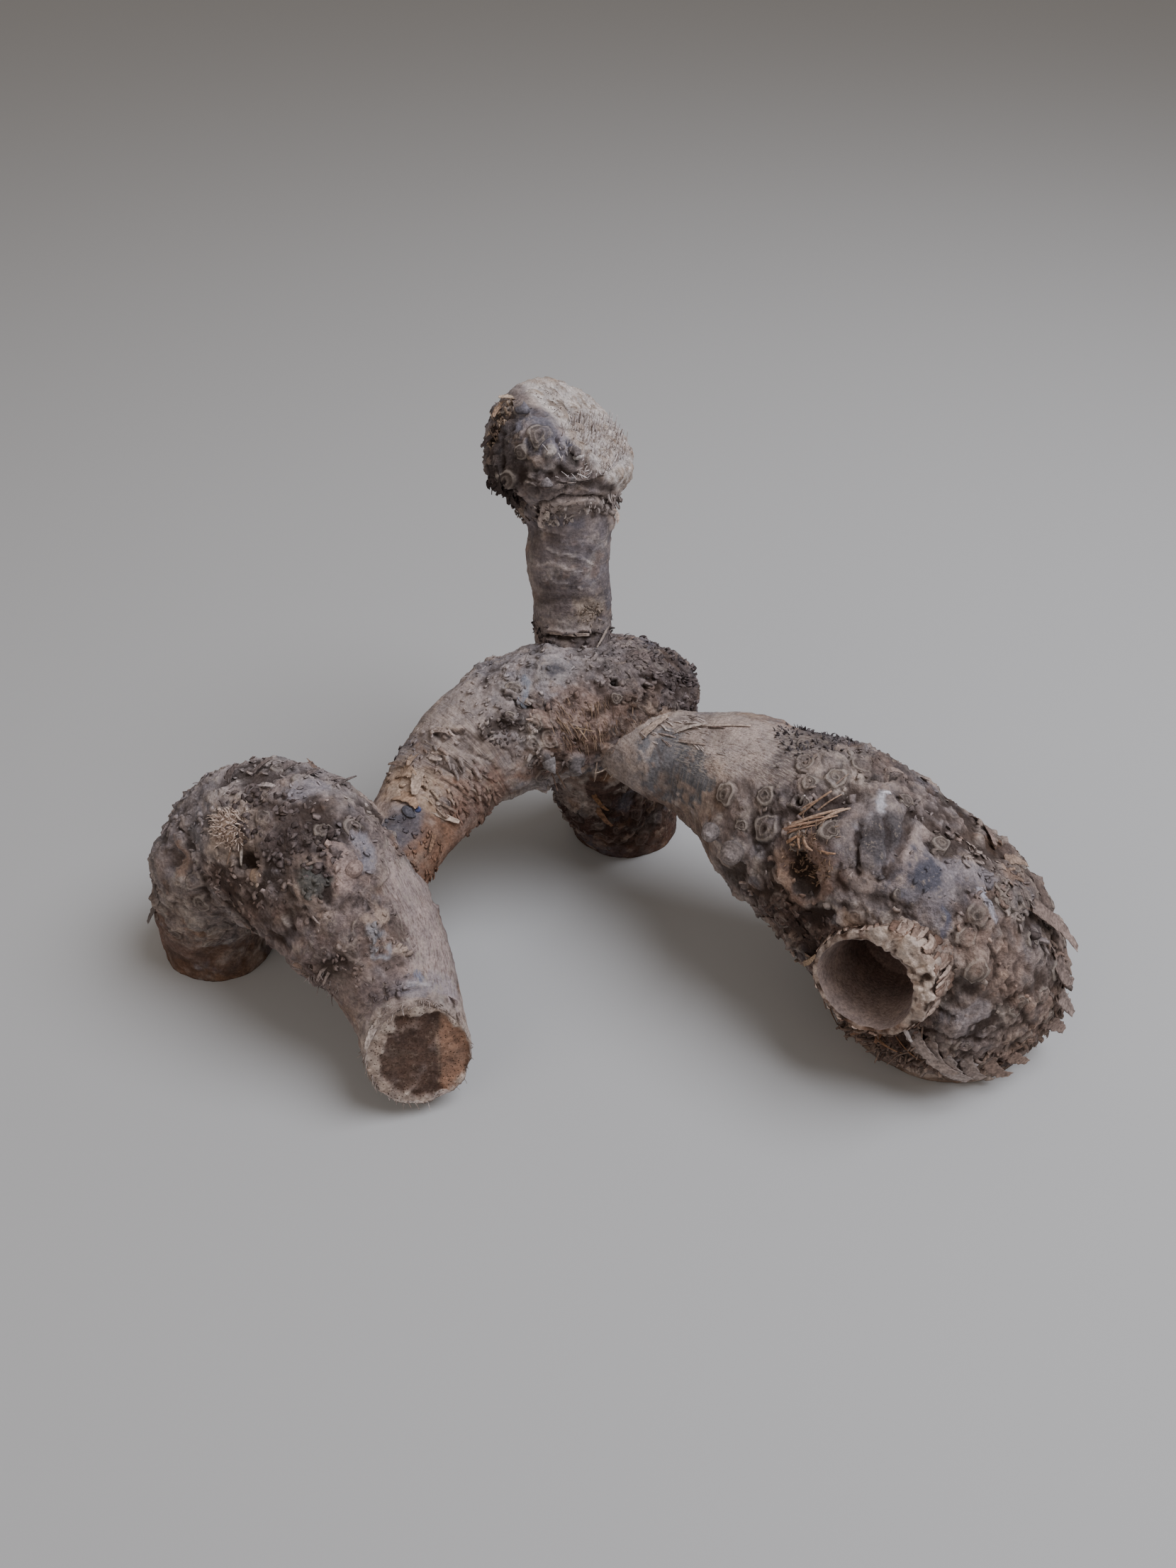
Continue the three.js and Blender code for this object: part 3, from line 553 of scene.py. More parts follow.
# %% Ridges, cracks and streaks
# A row is [line of (along, angle), half width, height, colour, strength of the colour].
STROKES = {
    "top": [
        [[[66, 328], [74, 342], [78, 356], [76, 22], [69, 58], [63, 70]], 2.0, 0.8, "#bfafa3", 0.8],
        [[[69, 324], [77, 342], [82, 358], [79, 20], [71, 58], [63, 80]], 0.8, -1.1, "#352c28", 0.85],
        # A groove darkened with painted shade along the bulb's lower edge.
        [[[85, 342], [94, 356], [85, 20], [78, 50]], 1.5, -0.8, "#4a403c", 0.6],
        [[[54, 328], [54, 356], [52, 18], [46, 42]], 0.5, 0.3, "#b8aca3", 0.8],
        [[[48, 316], [49, 348], [46, 20]], 0.5, 0.3, "#a99d95", 0.7],
        [[[41, 312], [43, 334], [42, 358], [38, 16]], 0.5, 0.3, "#a99d95", 0.7],
        [[[63, 320], [62, 356]], 0.4, 0.2, "#a2968f", 0.5],
        [[[32, 310], [34, 354], [32, 20], [25, 48]], 1.2, -0.5, "#3a3230", 0.6],
        [[[20, 318], [20, 352], [20, 28]], 1.2, 0.9, "#a1938a", 0.7],
        [[[17, 320], [18, 6], [18, 36]], 1.2, -1.6, "#1c1614", 0.95],
        [[[119, 36], [114, 44]], 0.5, -0.4, "#7d6c62", 0.6],
        [[[113, 28], [105, 28]], 0.6, -0.5, "#6d5c52", 0.6],
        [[[117, 312], [117, 334]], 0.6, -0.5, "#5d5350", 0.7],
        [[[103, 42], [96, 54]], 0.6, -0.5, "#8d7465", 0.6],
        # Painted shade on the torn flaps low on the bulb's side, which lie in shadow.
        [[[98, 300], [88, 308], [78, 318]], 3.2, -0.6, "#352a27", 0.75],
    ],
    "middle": [
        [[[51, 346], [52, 6], [56, 20]], 1.2, 1.4, "#b3a091", 0.8],
        # Painted shadow just under that lip, in a shallow groove.
        [[[50, 350], [52, 10], [55, 22]], 0.9, -0.9, "#3c302a", 0.8],
        [[[76, 18], [81, 36], [86, 42]], 0.7, -1.0, "#2f2724", 0.9],
        [[[78, 18], [83, 34], [88, 40]], 0.9, 0.9, "#9a8d84", 0.6],
        [[[60, 36], [68, 40], [74, 54]], 3.2, -1.0, "#473b35", 0.6],
        [[[57, 36], [52, 28]], 3, -0.8, "#4a3d36", 0.6],
        [[[67, 24], [76, 32]], 2, 0.8, "#948881", 0.6],
        [[[88, 18], [87, 28], [83, 36]], 1.6, 0.6, "#7e8288", 0.8],
        [[[92, 30], [94, 38], [98, 34]], 2.0, 0.4, "#a39b98", 0.7],
        [[[38, 10], [38, 46]], 0.6, -0.7, "#4f3f35", 0.7],
        [[[33, 24], [33, 66]], 0.6, -0.7, "#4f3f35", 0.7],
        [[[46, 30], [47, 66]], 0.5, -0.6, "#57463b", 0.7],
        [[[33, 46], [39, 100]], 0.5, -0.6, "#57463b", 0.6],
        [[[53, 36], [56, 70]], 0.6, -0.7, "#54453b", 0.6],
        [[[63, 50], [64, 76]], 0.6, -0.7, "#54453b", 0.6],
        [[[42, 2], [47, 26]], 0.8, 0.6, "#b3a294", 0.6],
        [[[45, 44], [46, 78]], 0.7, 0.5, "#a8937f", 0.5],
        [[[37, 28], [39, 68]], 0.7, 0.5, "#ab9887", 0.5],
        [[[94, 68], [96, 78]], 3.5, 0.4, "#544c4b", 0.7],
        [[[128, 30], [135, 34], [144, 40]], 0.9, -1.2, "#2a2220", 0.8],
        [[[128, 38], [129, 52]], 0.9, -1.2, "#2a2220", 0.8],
    ],
    "right": [
        [[[20, 128], [30, 148], [24, 166]], 9.5, -0.3, "#646363", 0.95],
        [[[34, 134], [43, 148], [38, 164]], 7.0, -0.3, "#616161", 0.95],
        [[[104, 100], [107, 110]], 1.2, 0.3, "#b9b6b6", 0.85],
        [[[105, 122], [107, 112]], 1.5, 0.3, "#a29a97", 0.7],
        [[[114, 142], [120, 134], [120, 118], [118, 102]], 3.0, 1.1, "#a39287", 0.65],
        [[[120, 132], [116, 114], [112, 96]], 1.4, -1.2, "#3d322d", 0.7],
        [[[130, 108], [137, 100]], 4.5, 0.2, "#8a8486", 0.6],
        [[[139, 108], [144, 112]], 1.8, 0.3, "#b0adb1", 0.85],
        [[[135, 126], [138, 134]], 1.0, 0.0, "#5a6178", 0.45],
        [[[99, 96], [103, 88], [106, 80]], 0.8, -1.2, "#2d2521", 0.85],
        [[[100, 98], [104, 90]], 1.4, 1.0, "#a39184", 0.6],
        [[[157, 172], [162, 160], [167, 140]], 0.9, -1.0, "#40332d", 0.7],
        [[[157, 152], [158, 140]], 3.0, 0.2, "#9b9290", 0.6],
        [[[172, 140], [194, 120]], 3.0, 0.3, "#a18a7c", 0.6],
        [[[174, 158], [179, 154]], 2.0, 0.3, "#a59c97", 0.6],
        [[[115, 164], [109, 182]], 3.0, -1.0, "#2d201b", 0.8],
        # A shallow dent with a painted shadow beside the stub.
        [[[110, 188], [123, 198]], 4.0, -0.8, "#3a2b26", 0.7],
        [[[139, 136], [145, 144]], 1.0, -1.0, "#453a35", 0.7],
        [[[147, 122], [153, 128]], 0.9, -0.9, "#4c3d35", 0.6],
        [[[148, 90], [155, 106]], 0.9, -0.9, "#4a3c35", 0.6],
        [[[159, 128], [169, 120]], 0.9, -0.9, "#4a3c35", 0.6],
        [[[150, 162], [157, 154]], 0.9, -0.9, "#453832", 0.6],
        [[[125, 72], [135, 72]], 0.9, -0.9, "#453832", 0.6],
        [[[92, 156], [97, 166], [103, 168]], 3.0, 1.2, "#8a7260", 0.7],
        [[[99, 142], [105, 144], [107, 152]], 2.6, 1.3, "#8a7262", 0.6],
        [[[104, 170], [109, 162], [109, 154]], 2.5, 1.0, "#6d5546", 0.7],
        [[[98, 152], [101, 156]], 4.0, -2.2, "#33291f", 0.85],
        [[[103, 164], [106, 162]], 3.5, -1.0, "#55504d", 0.8],
        [[[105, 120], [108, 132], [114, 138]], 0.9, -1.1, "#3a302c", 0.8],
        [[[109, 112], [115, 122], [118, 134]], 0.9, -1.1, "#3a302c", 0.8],
        [[[12, 140], [16, 174]], 0.6, 0.4, "#a9998b", 0.5],
        [[[16, 126], [25, 172], [38, 206]], 0.6, -0.4, "#5d534e", 0.5],
        [[[34, 164], [51, 194]], 0.6, -0.4, "#6a5a50", 0.5],
    ],
    "left": [
        [[[124, 106], [132, 112], [136, 120]], 2.5, -1.2, "#3a3230", 0.8],
        # A ridge on the eye with a painted highlight along it.
        [[[126, 103], [131, 101], [135, 106]], 4.2, 2.4, "#ab9488", 0.8],
        [[[126, 83], [133, 87]], 3.8, 0.2, "#8f8d92", 0.6],
        [[[153, 111], [163, 116]], 2.6, 0.5, "#8f8f90", 0.7],
        [[[156, 104], [165, 108]], 2.2, 0.5, "#8a8c8f", 0.7],
        [[[150, 117], [160, 125]], 1.8, -0.6, "#54453d", 0.4],
        [[[154, 108], [164, 112]], 0.6, -0.7, "#42362f", 0.6],
        [[[154, 96], [161, 88]], 3.2, -0.8, "#54463f", 0.45],
        [[[170, 112], [170, 104]], 2.4, -0.6, "#54463f", 0.4],
        [[[149, 108], [151, 94]], 2.0, 1.2, "#ab9684", 0.75],
        [[[165, 98], [166, 96]], 2.0, 1.0, "#b09c8b", 0.8],
        [[[182, 100], [185, 78]], 2.2, 0.3, "#b5aeac", 0.7],
        [[[178, 86], [181, 84]], 2.0, 0.0, "#6d7484", 0.7],
        [[[192, 98], [197, 88]], 4.0, 0.0, "#857f80", 0.6],
        [[[110, 106], [119, 118], [123, 132], [133, 146]], 4.5, -0.8, "#524640", 0.5],
        [[[103, 147], [107, 142]], 2.8, -1.4, "#2c221d", 0.8],
        [[[72, 144], [72, 158], [67, 172]], 1.8, 0.9, "#8f7562", 0.7],
        [[[62, 150], [60, 160]], 3.0, 1.5, "#7d6b60", 0.5],
        [[[67, 152], [66, 162]], 2.4, -0.6, "#43342b", 0.7],
        [[[82, 124], [83, 124]], 3.5, 0.3, "#5b5a5e", 0.7],
        [[[81, 142], [83, 146]], 4.5, 0.3, "#5a5654", 0.7],
        [[[111, 148], [113, 148]], 3.0, 0.8, "#a88d73", 0.8],
        [[[107, 90], [108, 70]], 3.0, 0.4, "#8f898b", 0.6],
        [[[99, 108], [106, 106]], 3.0, -0.8, "#4d4037", 0.6],
        [[[91, 162], [105, 184], [114, 184]], 4.0, -0.5, "#4a382f", 0.6],
    ],
    "rear": [],
}
print("strokes", {name: len(rows) for name, rows in STROKES.items()})


# %% [markdown]
# ## Painting by numbers
# Old bamboo isn't one brown: each limb has aged in its own way, and dust and soil lie on it in blotches. An image could
# be painted by hand, but tables of ovals and lines stay editable, and noise makes their edges as ragged as real ones.

# %% Painting on a grid
PAINT = np.array([1.36, 1.39, 1.5])  # how much brighter the paint is than it looks in soft room light


def oval(grid, at, degrees, half_length, half_width):
    """How far each point is from the middle of an oval on the skin, 1 at its edge: the hypotenuse of both shares."""
    across = turn_between(grid["angle"], degrees) * grid["radius"]
    return np.hypot((grid["along"] - at) / half_length, across / half_width)


def closeness(grid, line):
    """How far each point is from a line on the skin, in mm: the least distance to each straight step of the line."""
    best = np.full(grid["along"].shape, 99.0)
    for (at, degrees), (to, end) in zip(line[:-1], line[1:]):
        x, y = grid["along"] - at, turn_between(grid["angle"], degrees) * grid["radius"]
        dx, dy = to - at, math.remainder(math.radians(end - degrees), 2 * math.pi) * grid["radius"]
        t = np.clip((x * dx + y * dy) / (dx * dx + dy * dy + 1e-6), 0, 1)
        best = np.minimum(best, np.hypot(x - t * dx, y - t * dy))
    return best


def mix(under, over, weight):
    """Under where the weight is 0, over where it is 1. Either may be one hex colour for the whole grid."""
    under, over = [np.array(linear(c)[:3]) if isinstance(c, str) else c for c in (under, over)]
    return under + (over - under) * np.asarray(weight)[..., None]


print("an oval's edge is at", oval({"along": np.array(5.0), "angle": np.array(0.0), "radius": 20.0}, 0, 0, 5, 5))

# %% Paint
# Blotches of soil and dust: size in mm, seed, colour, strength and where they start.
BLOTCHES = [(24, 41, "#5e4c41", 0.55, 0.05), (17, 43, "#a8988a", 0.5, 0.1), (12, 45, "#6a6a70", 0.5, 0.22),
            (8, 47, "#4a3a32", 0.5, 0.15), (6, 49, "#b3a799", 0.45, 0.2), (9, 51, "#8d6b4f", 0.4, 0.28)]


def paint(limb_name, grid, ragged):
    """The skin's colour: the limb's tones along its length, then blotches, then patches with ragged edges."""
    tones = TONES[limb_name]
    share = grid["along"] / LIMBS[limb_name]["length"] + 0.05 * ragged
    places, colours = [t[0] for t in tones], [linear(t[1]) for t in tones]
    colour = np.stack([np.interp(share, places, [c[k] for c in colours]) for k in range(3)], -1)
    for size, seed, blotch, strength, start in BLOTCHES:
        weight = smooth((rough_noise(grid["points"], size, 4, seed) - start) / 0.3)
        colour = mix(colour, blotch, strength * weight * (0.55 if limb_name == "top" else 1))
    for at, degrees, half_length, half_width, patch, strength in PATCHES[limb_name]:
        edge = oval(grid, at, degrees, half_length, half_width) + 0.55 * ragged
        colour = mix(colour, patch, strength * smooth((1.25 - edge) / 0.6))
    return colour


print("blotches of", [row[0] for row in BLOTCHES], "mm")


# %% [markdown]
# ## The skin of a limb
# The relief is a sum of simple heights in mm. Lumps, flakes and crumbs cover the bodies, low ridges run round them
# where the nodes were, and a stack of low steps marks the rings of a neck. Each scar is a dome with a rim and a pit.
# Where wood was scuffed bare, all of it fades. One function adds each layer to a set of arrays, `s`, that holds the
# height and colour of every point and the masks that the material reads, such as how crumbly or how bare it is.

# %% Lumps, flakes and rings
LUMP, GRIT, FLAKE, CRUMB = 13, 4.6, 5.6, 2.7  # sizes in mm
NODE_GAP, RING_GAP = 12.5, 5.4  # mm between two ridges of a body, and between two rings of a neck
# How strongly each limb shows rings and flakes, the height of its lumps and how high the painted shade of its hollows
# reaches, in mm.
LOOKS = {"left": (0.4, 0.42, 2.8, 0.25), "middle": (0.8, 0.75, 2.5, 0), "rear": (0.4, 0.75, 2.5, 0),
         "top": (0.25, 0.75, 2.5, 0), "right": (0.6, 0.6, 3.1, 0.4)}


def lumps_and_rings(limb_name, grid):
    """The first layer: masks for bare, knobby, rough and ringed skin, and the heights that depend on them."""
    limb, points = LIMBS[limb_name], grid["points"]
    rings, flaky, lumps, _ = LOOKS[limb_name]
    share = grid["along"] / limb["length"]
    s = SimpleNamespace(wide=rough_noise(points, LUMP, 2, 3), middling=rough_noise(points, GRIT, 3, 5),
                        bare=np.zeros_like(share))
    for row in BARE[limb_name]:
        s.bare = np.maximum(s.bare, smooth((1.15 - oval(grid, *row) + 0.3 * s.wide) / 0.35))
    s.knobby = within(limb["knobs"], share)
    s.rough = np.clip(0.22 + 0.78 * s.knobby - 0.9 * s.bare, 0.05, 1)
    s.ringed = np.maximum(within(limb["rings"], share), 0.35 * (1 - s.knobby)) * (1 - 0.5 * s.bare)
    s.ringed = s.ringed * rings

    s.crumbly = s.rough * smooth(0.6 + 1.3 * s.wide) * flaky
    s.chance, tilt, border = flakes(points * [1, 1, 1.2] + 1.8 * s.middling[..., None], FLAKE, 2)
    s.little, lean, _ = flakes(points + 0.6 * s.middling[..., None], CRUMB, 9)
    s.height = lumps * s.wide * (0.25 + 0.75 * s.rough) + 1.3 * s.middling * (0.15 + 0.85 * s.rough)
    s.height += (1.5 * (s.chance - 0.5) + 2.3 * tilt) * s.crumbly * smooth(border / 0.1)
    s.height += (0.4 * (s.little - 0.5) + 0.75 * lean) * (0.1 + 0.9 * s.rough) * smooth(0.5 + 1.6 * s.middling)
    s.crevice = s.crumbly * (1 - smooth(border / 0.16)) * smooth(0.6 + 2 * s.middling)
    s.height -= 1.1 * s.crevice
    node = np.abs(np.mod((grid["along"] + 5 * s.wide) / NODE_GAP, 1) - 0.5) * NODE_GAP
    s.height += 1.1 * smooth(1 - node / 2.0) * s.rough * smooth(0.3 + 1.5 * s.middling)
    step = np.mod((grid["along"] + 0.9 * s.wide + 1.2 * np.sin(grid["angle"])) / RING_GAP, 1)
    s.height += 0.5 * (step * smooth((1 - step) / 0.12) - 0.4) * s.ringed
    s.edge = s.ringed * smooth(1 - np.abs(step - 0.93) / 0.09)
    return s


print("rings are", RING_GAP, "mm apart")

# %% Scars
SCAR_ROOM = 3.5  # mm round a mark or a scar of its own that ordinary scars keep free
SCAR_RADIUS, SCAR_MORE = 3.4, 1.4  # an ordinary scar's least radius, and how much more it can be, in mm


def scar_profile(way):
    """A scar's height by the distance in its radii: a dome, a rim, a ring inside it, a pit and a groove outside."""
    rim = np.exp(-((way - 0.82) / 0.16) ** 2)
    inner = np.exp(-((way - 0.42) / 0.12) ** 2)
    pit = smooth((0.3 - way) / 0.3)
    groove = np.exp(-((way - 1.12) / 0.14) ** 2)
    return 1.0 * smooth(1.3 - way) + 0.75 * rim + 0.3 * inner - 0.7 * pit - 0.45 * groove


def off_by(limb, along, angle, row):
    """How far scars lie from the place of a table's row, in mm along the limb and in mm round it."""
    radius = sections(limb, along / limb["length"])["radius"]
    return along - row[0], turn_between(angle, row[1]) * radius


def scars_of(limb_name):
    """The length, angle and radius of all scars, with the scattered ones first, and how many of those there are."""
    limb = LIMBS[limb_name]
    along, angle, luck = scar_places(limb)
    keep = np.ones(len(along), bool)
    for row in MARKS[limb_name]:
        keep &= np.hypot(*off_by(limb, along, angle, row)) > max(row[2], row[3]) + SCAR_ROOM
    for row in BARE[limb_name]:
        down, across = off_by(limb, along, angle, row)
        keep &= np.hypot(down / row[2], across / row[3]) > 0.9
    own = np.array(SCARS[limb_name] or [[-99, 0, 1]], float)  # a limb with none gets a tiny one at its hidden start
    for row in own:
        keep &= np.hypot(*off_by(limb, along, angle, row)) > row[2] + SCAR_ROOM
    return (np.concatenate([along[keep], own[:, 0]]), np.concatenate([angle[keep], np.radians(own[:, 1])]),
            np.concatenate([SCAR_RADIUS + SCAR_MORE * luck[keep], own[:, 2]]), keep.sum())


def add_scars(limb_name, grid, s):
    """The scars press the relief under them flat and add their own profile, strongly only where they show."""
    limb = LIMBS[limb_name]
    along, angle, radii, scattered = scars_of(limb_name)
    s.way, which = nearest_scar(grid["points"] + 1.5 * s.middling[..., None], on_skin(limb, along, angle), radii)
    s.way = s.way * (1 + 0.24 * noise(grid["points"], 3.1, 8)) + 0.05
    shown = np.full(s.way.shape, 0.08 if limb_name == "rear" else 0.22)
    for row in SCARRED[limb_name]:
        shown = np.maximum(shown, row[4] * smooth((1.2 - oval(grid, *row[:4]) + 0.3 * s.wide) / 0.5))
    strong = (0.25 + 0.75 * draw(which + 3, limb["seed"])) * shown
    strong = np.where(which >= scattered, 0.8 + 0.3 * draw(which, 77), strong)
    s.height = s.height * (1 - (0.2 + 0.5 * strong) * smooth((1.3 - s.way) / 0.5))
    s.height += scar_profile(s.way) * (0.25 + 0.95 * strong) * (grid["cap"] > 0.98)
    s.tint = strong * smooth(0.8 + s.middling)


print("scars in all", {name: len(scars_of(name)[0]) for name in LIMBS})

# %% Colour, marks and strokes
def add_colour(limb_name, grid, s):
    """The paint, with a lighter or darker shade for each flake and crumb, and a very dark brown in the crevices between
    flakes.
    """
    s.colour = paint(limb_name, grid, s.middling)
    s.colour = s.colour * (1 + 0.5 * (s.chance - 0.5) * s.crumbly + 0.45 * (s.little - 0.5) * s.rough)[..., None]
    s.colour = mix(s.colour, "#b09a86", 0.5 * s.crumbly * smooth((s.chance - 0.84) / 0.05))
    s.colour = mix(s.colour, "#514f52", 0.5 * s.crumbly * smooth((0.13 - s.chance) / 0.05))
    s.colour = mix(s.colour, "#2a1f1a", 0.65 * s.crevice)


def add_marks(limb_name, grid, s):
    """Each mark is an oval: a dome, a rim at its edge and a pit in its middle, with a colour for the last two."""
    for *place, dome, rim, pit, middle_colour, rim_colour in MARKS[limb_name]:
        out = oval(grid, *place) + 0.3 * s.middling + 0.12 * s.wide
        inside = smooth((1.25 - out) / 0.35)
        s.height = s.height * (1 - 0.6 * inside) + dome * smooth(1.2 - out) + rim * np.exp(-((out - 0.86) / 0.17) ** 2)
        s.height -= pit * smooth((0.8 - out) / 0.4)
        s.colour = mix(s.colour, rim_colour, 0.7 * smooth((1.2 - out) / 0.4) * smooth(0.8 + s.middling))
        s.colour = mix(s.colour, middle_colour, 0.85 * smooth((0.78 - out) / 0.35))
        s.way = np.maximum(s.way, 2 * inside)
        s.rough = s.rough * (1 - 0.6 * inside)


def add_strokes(limb_name, grid, s):
    """Each stroke is a wandering line: a low ridge or groove with its own colour, crisp where it is broad."""
    bent = dict(grid, along=grid["along"] + 1.6 * rough_noise(grid["points"], 5, 3, 61),
                angle=grid["angle"] + 1.6 * rough_noise(grid["points"], 5, 3, 62) / grid["radius"])
    for line, half_width, rise, hue, strength in STROKES[limb_name]:
        out = closeness(bent, line) / half_width + 0.4 * s.middling + 0.3 * (s.little - 0.5)
        s.height = s.height * (1 - 0.5 * smooth((1.2 - out) / 0.6)) + rise * smooth((1.4 - out) / 0.9)
        soft = 0.22 if half_width > 5 else 0.6
        s.colour = mix(s.colour, hue, strength * smooth((1.25 - out) / soft) * smooth(1 + 1.6 * s.middling))
        s.way = np.where(out < 1, 2, s.way)


def skin(limb_name, grid):
    """Heights, and the colours and masks that the material reads, of a limb's skin as arrays over its grid."""
    s = lumps_and_rings(limb_name, grid)
    for layer in (add_scars, add_colour, add_marks, add_strokes):
        layer(limb_name, grid, s)
    # How far a point lies below its limb's level, from -1 to 1: the material paints shade into these hollows and keeps
    # dust off them.
    low = np.clip((LOOKS[limb_name][3] * s.knobby - s.height) / 1.6, -1, 1)
    radius, angle = grid["radius"], grid["angle"]
    grown = np.stack([grid["along"], radius * np.cos(angle), radius * np.sin(angle)], -1)
    return s.height, {"tone": s.colour * PAINT, "scar": np.minimum(s.way, 2), "tint": s.tint, "rough": s.rough,
                      "bare": s.bare, "ringed": s.ringed, "edge": s.edge, "low": low, "grown": grown,
                      "sawn": smooth((0.97 - grid["cap"]) / 0.04)}


print("layers of skin", [layer.__name__ for layer in (lumps_and_rings, add_scars, add_colour, add_marks, add_strokes)])

# %% [markdown]
# ## From grids to meshes
# One function turns any grid into a closed mesh: its last column joins its first, and each end is closed by a fan of
# triangles round the mean of its last ring. Several grids of the same size can go into one mesh, which is how the
# loose fibres are made. Each value is stored as an attribute of the points. The grid also gives the UV map that a bake
# of the finish needs. Building it face by face would be simpler to read, but slow for half a million points.

# %% Meshes
def add_piece(name, grids, material, values, stands_for_solid=False):
    """Closed surfaces from grids, an array of pieces by rows by columns by xyz in mm, as one object in metres."""
    count, rows, columns = grids.shape[:3]
    ends = np.stack([grids[:, 0].mean(1), grids[:, -1].mean(1)], 1)
    points = np.concatenate([grids.reshape(count, -1, 3), ends], 1)
    number = np.arange(rows * columns).reshape(rows, columns)
    after = np.roll(number, -1, axis=1)
    a, b, c, d = number[:-1], after[:-1], number[1:], after[1:]
    sides = np.stack([a, b, d, a, d, c], -1).reshape(-1, 3)
    first_hub, last_hub = np.full(columns, rows * columns), np.full(columns, rows * columns + 1)
    faces = np.concatenate([sides, np.stack([first_hub, after[0], number[0]], -1),
                            np.stack([last_hub, number[-1], after[-1]], -1)])
    faces = (faces[None] + (np.arange(count) * (rows * columns + 2))[:, None, None]).reshape(-1, 3)
    mesh = bpy.data.meshes.new(name)
    mesh.vertices.add(points.shape[0] * points.shape[1])
    mesh.vertices.foreach_set("co", (points.reshape(-1) / 1000).astype(np.float32))
    mesh.loops.add(faces.size)
    mesh.loops.foreach_set("vertex_index", faces.reshape(-1).astype(np.int32))
    mesh.polygons.add(len(faces))
    mesh.polygons.foreach_set("loop_start", np.arange(0, faces.size, 3, dtype=np.int32))
    mesh.polygons.foreach_set("use_smooth", np.ones(len(faces), bool))
    mesh.update(calc_edges=True)
    for key, value in values.items():
        flat = value.reshape(count, rows * columns, -1)
        flat = np.concatenate([flat, np.stack([value[:, 0].reshape(count, columns, -1).mean(1),
                                               value[:, -1].reshape(count, columns, -1).mean(1)], 1)], 1)
        kind = "FLOAT" if flat.shape[-1] == 1 else "FLOAT_VECTOR"
        attribute = mesh.attributes.new(key, kind, "POINT")
        attribute.data.foreach_set("value" if kind == "FLOAT" else "vector", flat.reshape(-1).astype(np.float32))
    unwrap(mesh, count, rows, columns)
    mesh.materials.append(material)
    piece = bpy.data.objects.new(name, mesh)
    bpy.context.scene.collection.objects.link(piece)
    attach(piece, "root")
    if stands_for_solid:
        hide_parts("rhizome")
    print(name, len(faces), "triangles")
    return piece


def unwrap(mesh, count, rows, columns):
    """The grid laid flat: columns across, rows up, a fan's middle just past its end, and the pieces in tiles."""
    j, i = np.meshgrid(np.arange(columns), np.arange(rows - 1))
    corners = [(i, j), (i, j + 1), (i + 1, j + 1), (i, j), (i + 1, j + 1), (i + 1, j)]
    sides = np.stack([np.stack([x / columns, (y + 1) / (rows + 1)], -1) for y, x in corners], 2).reshape(-1, 2)
    j = np.arange(columns)
    up = np.ones(columns)
    start = [(0 * up, j + 0.5), (up, j + 1), (up, j)]
    start = np.stack([np.stack([x / columns, y / (rows + 1)], -1) for y, x in start], 1)
    end = [((rows + 1) * up, j + 0.5), (rows * up, j), (rows * up, j + 1)]
    end = np.stack([np.stack([x / columns, y / (rows + 1)], -1) for y, x in end], 1)
    tile = np.concatenate([sides, start.reshape(-1, 2), end.reshape(-1, 2)])
    across = math.ceil(math.sqrt(count))
    place = np.stack([np.arange(count) % across, np.arange(count) // across], -1)
    where = (place[:, None] + 0.02 + 0.96 * tile[None]) / across
    layer = mesh.uv_layers.new(name="OFBake")
    layer.uv.foreach_set("vector", where.reshape(-1).astype(np.float32))


# %% [markdown]
# ## The bark's finish
# Dried bamboo rhizome is dull and rough, so its roughness is near 0.9 and it has hardly any gloss. Its colour comes
# from the painted tones, broken up by blotches of 7 mm, specks of 1.3 mm, and fibre about 1 mm thick that runs along
# bare wood but round a ringed neck. Real fibre is finer, and is drawn as coarse as it needs to show. The scars are
# drawn from the stored distance by a curve, so their rims stay crisp between the points of the mesh. Object
# coordinates are in metres, so a scale is 1000 over the size in mm.

# %% Bark material
# A scar's rings: (half the distance from its middle in its radii, height and paleness).
SCAR_RINGS = [(0, 0.25), (0.05, 0.1), (0.1, 0.15), (0.16, 0.3), (0.21, 0.5), (0.26, 0.3), (0.33, 0.32), (0.39, 0.75),
              (0.44, 0.7), (0.5, 0.25), (0.58, 0.15), (0.66, 0.35), (1, 0.4)]


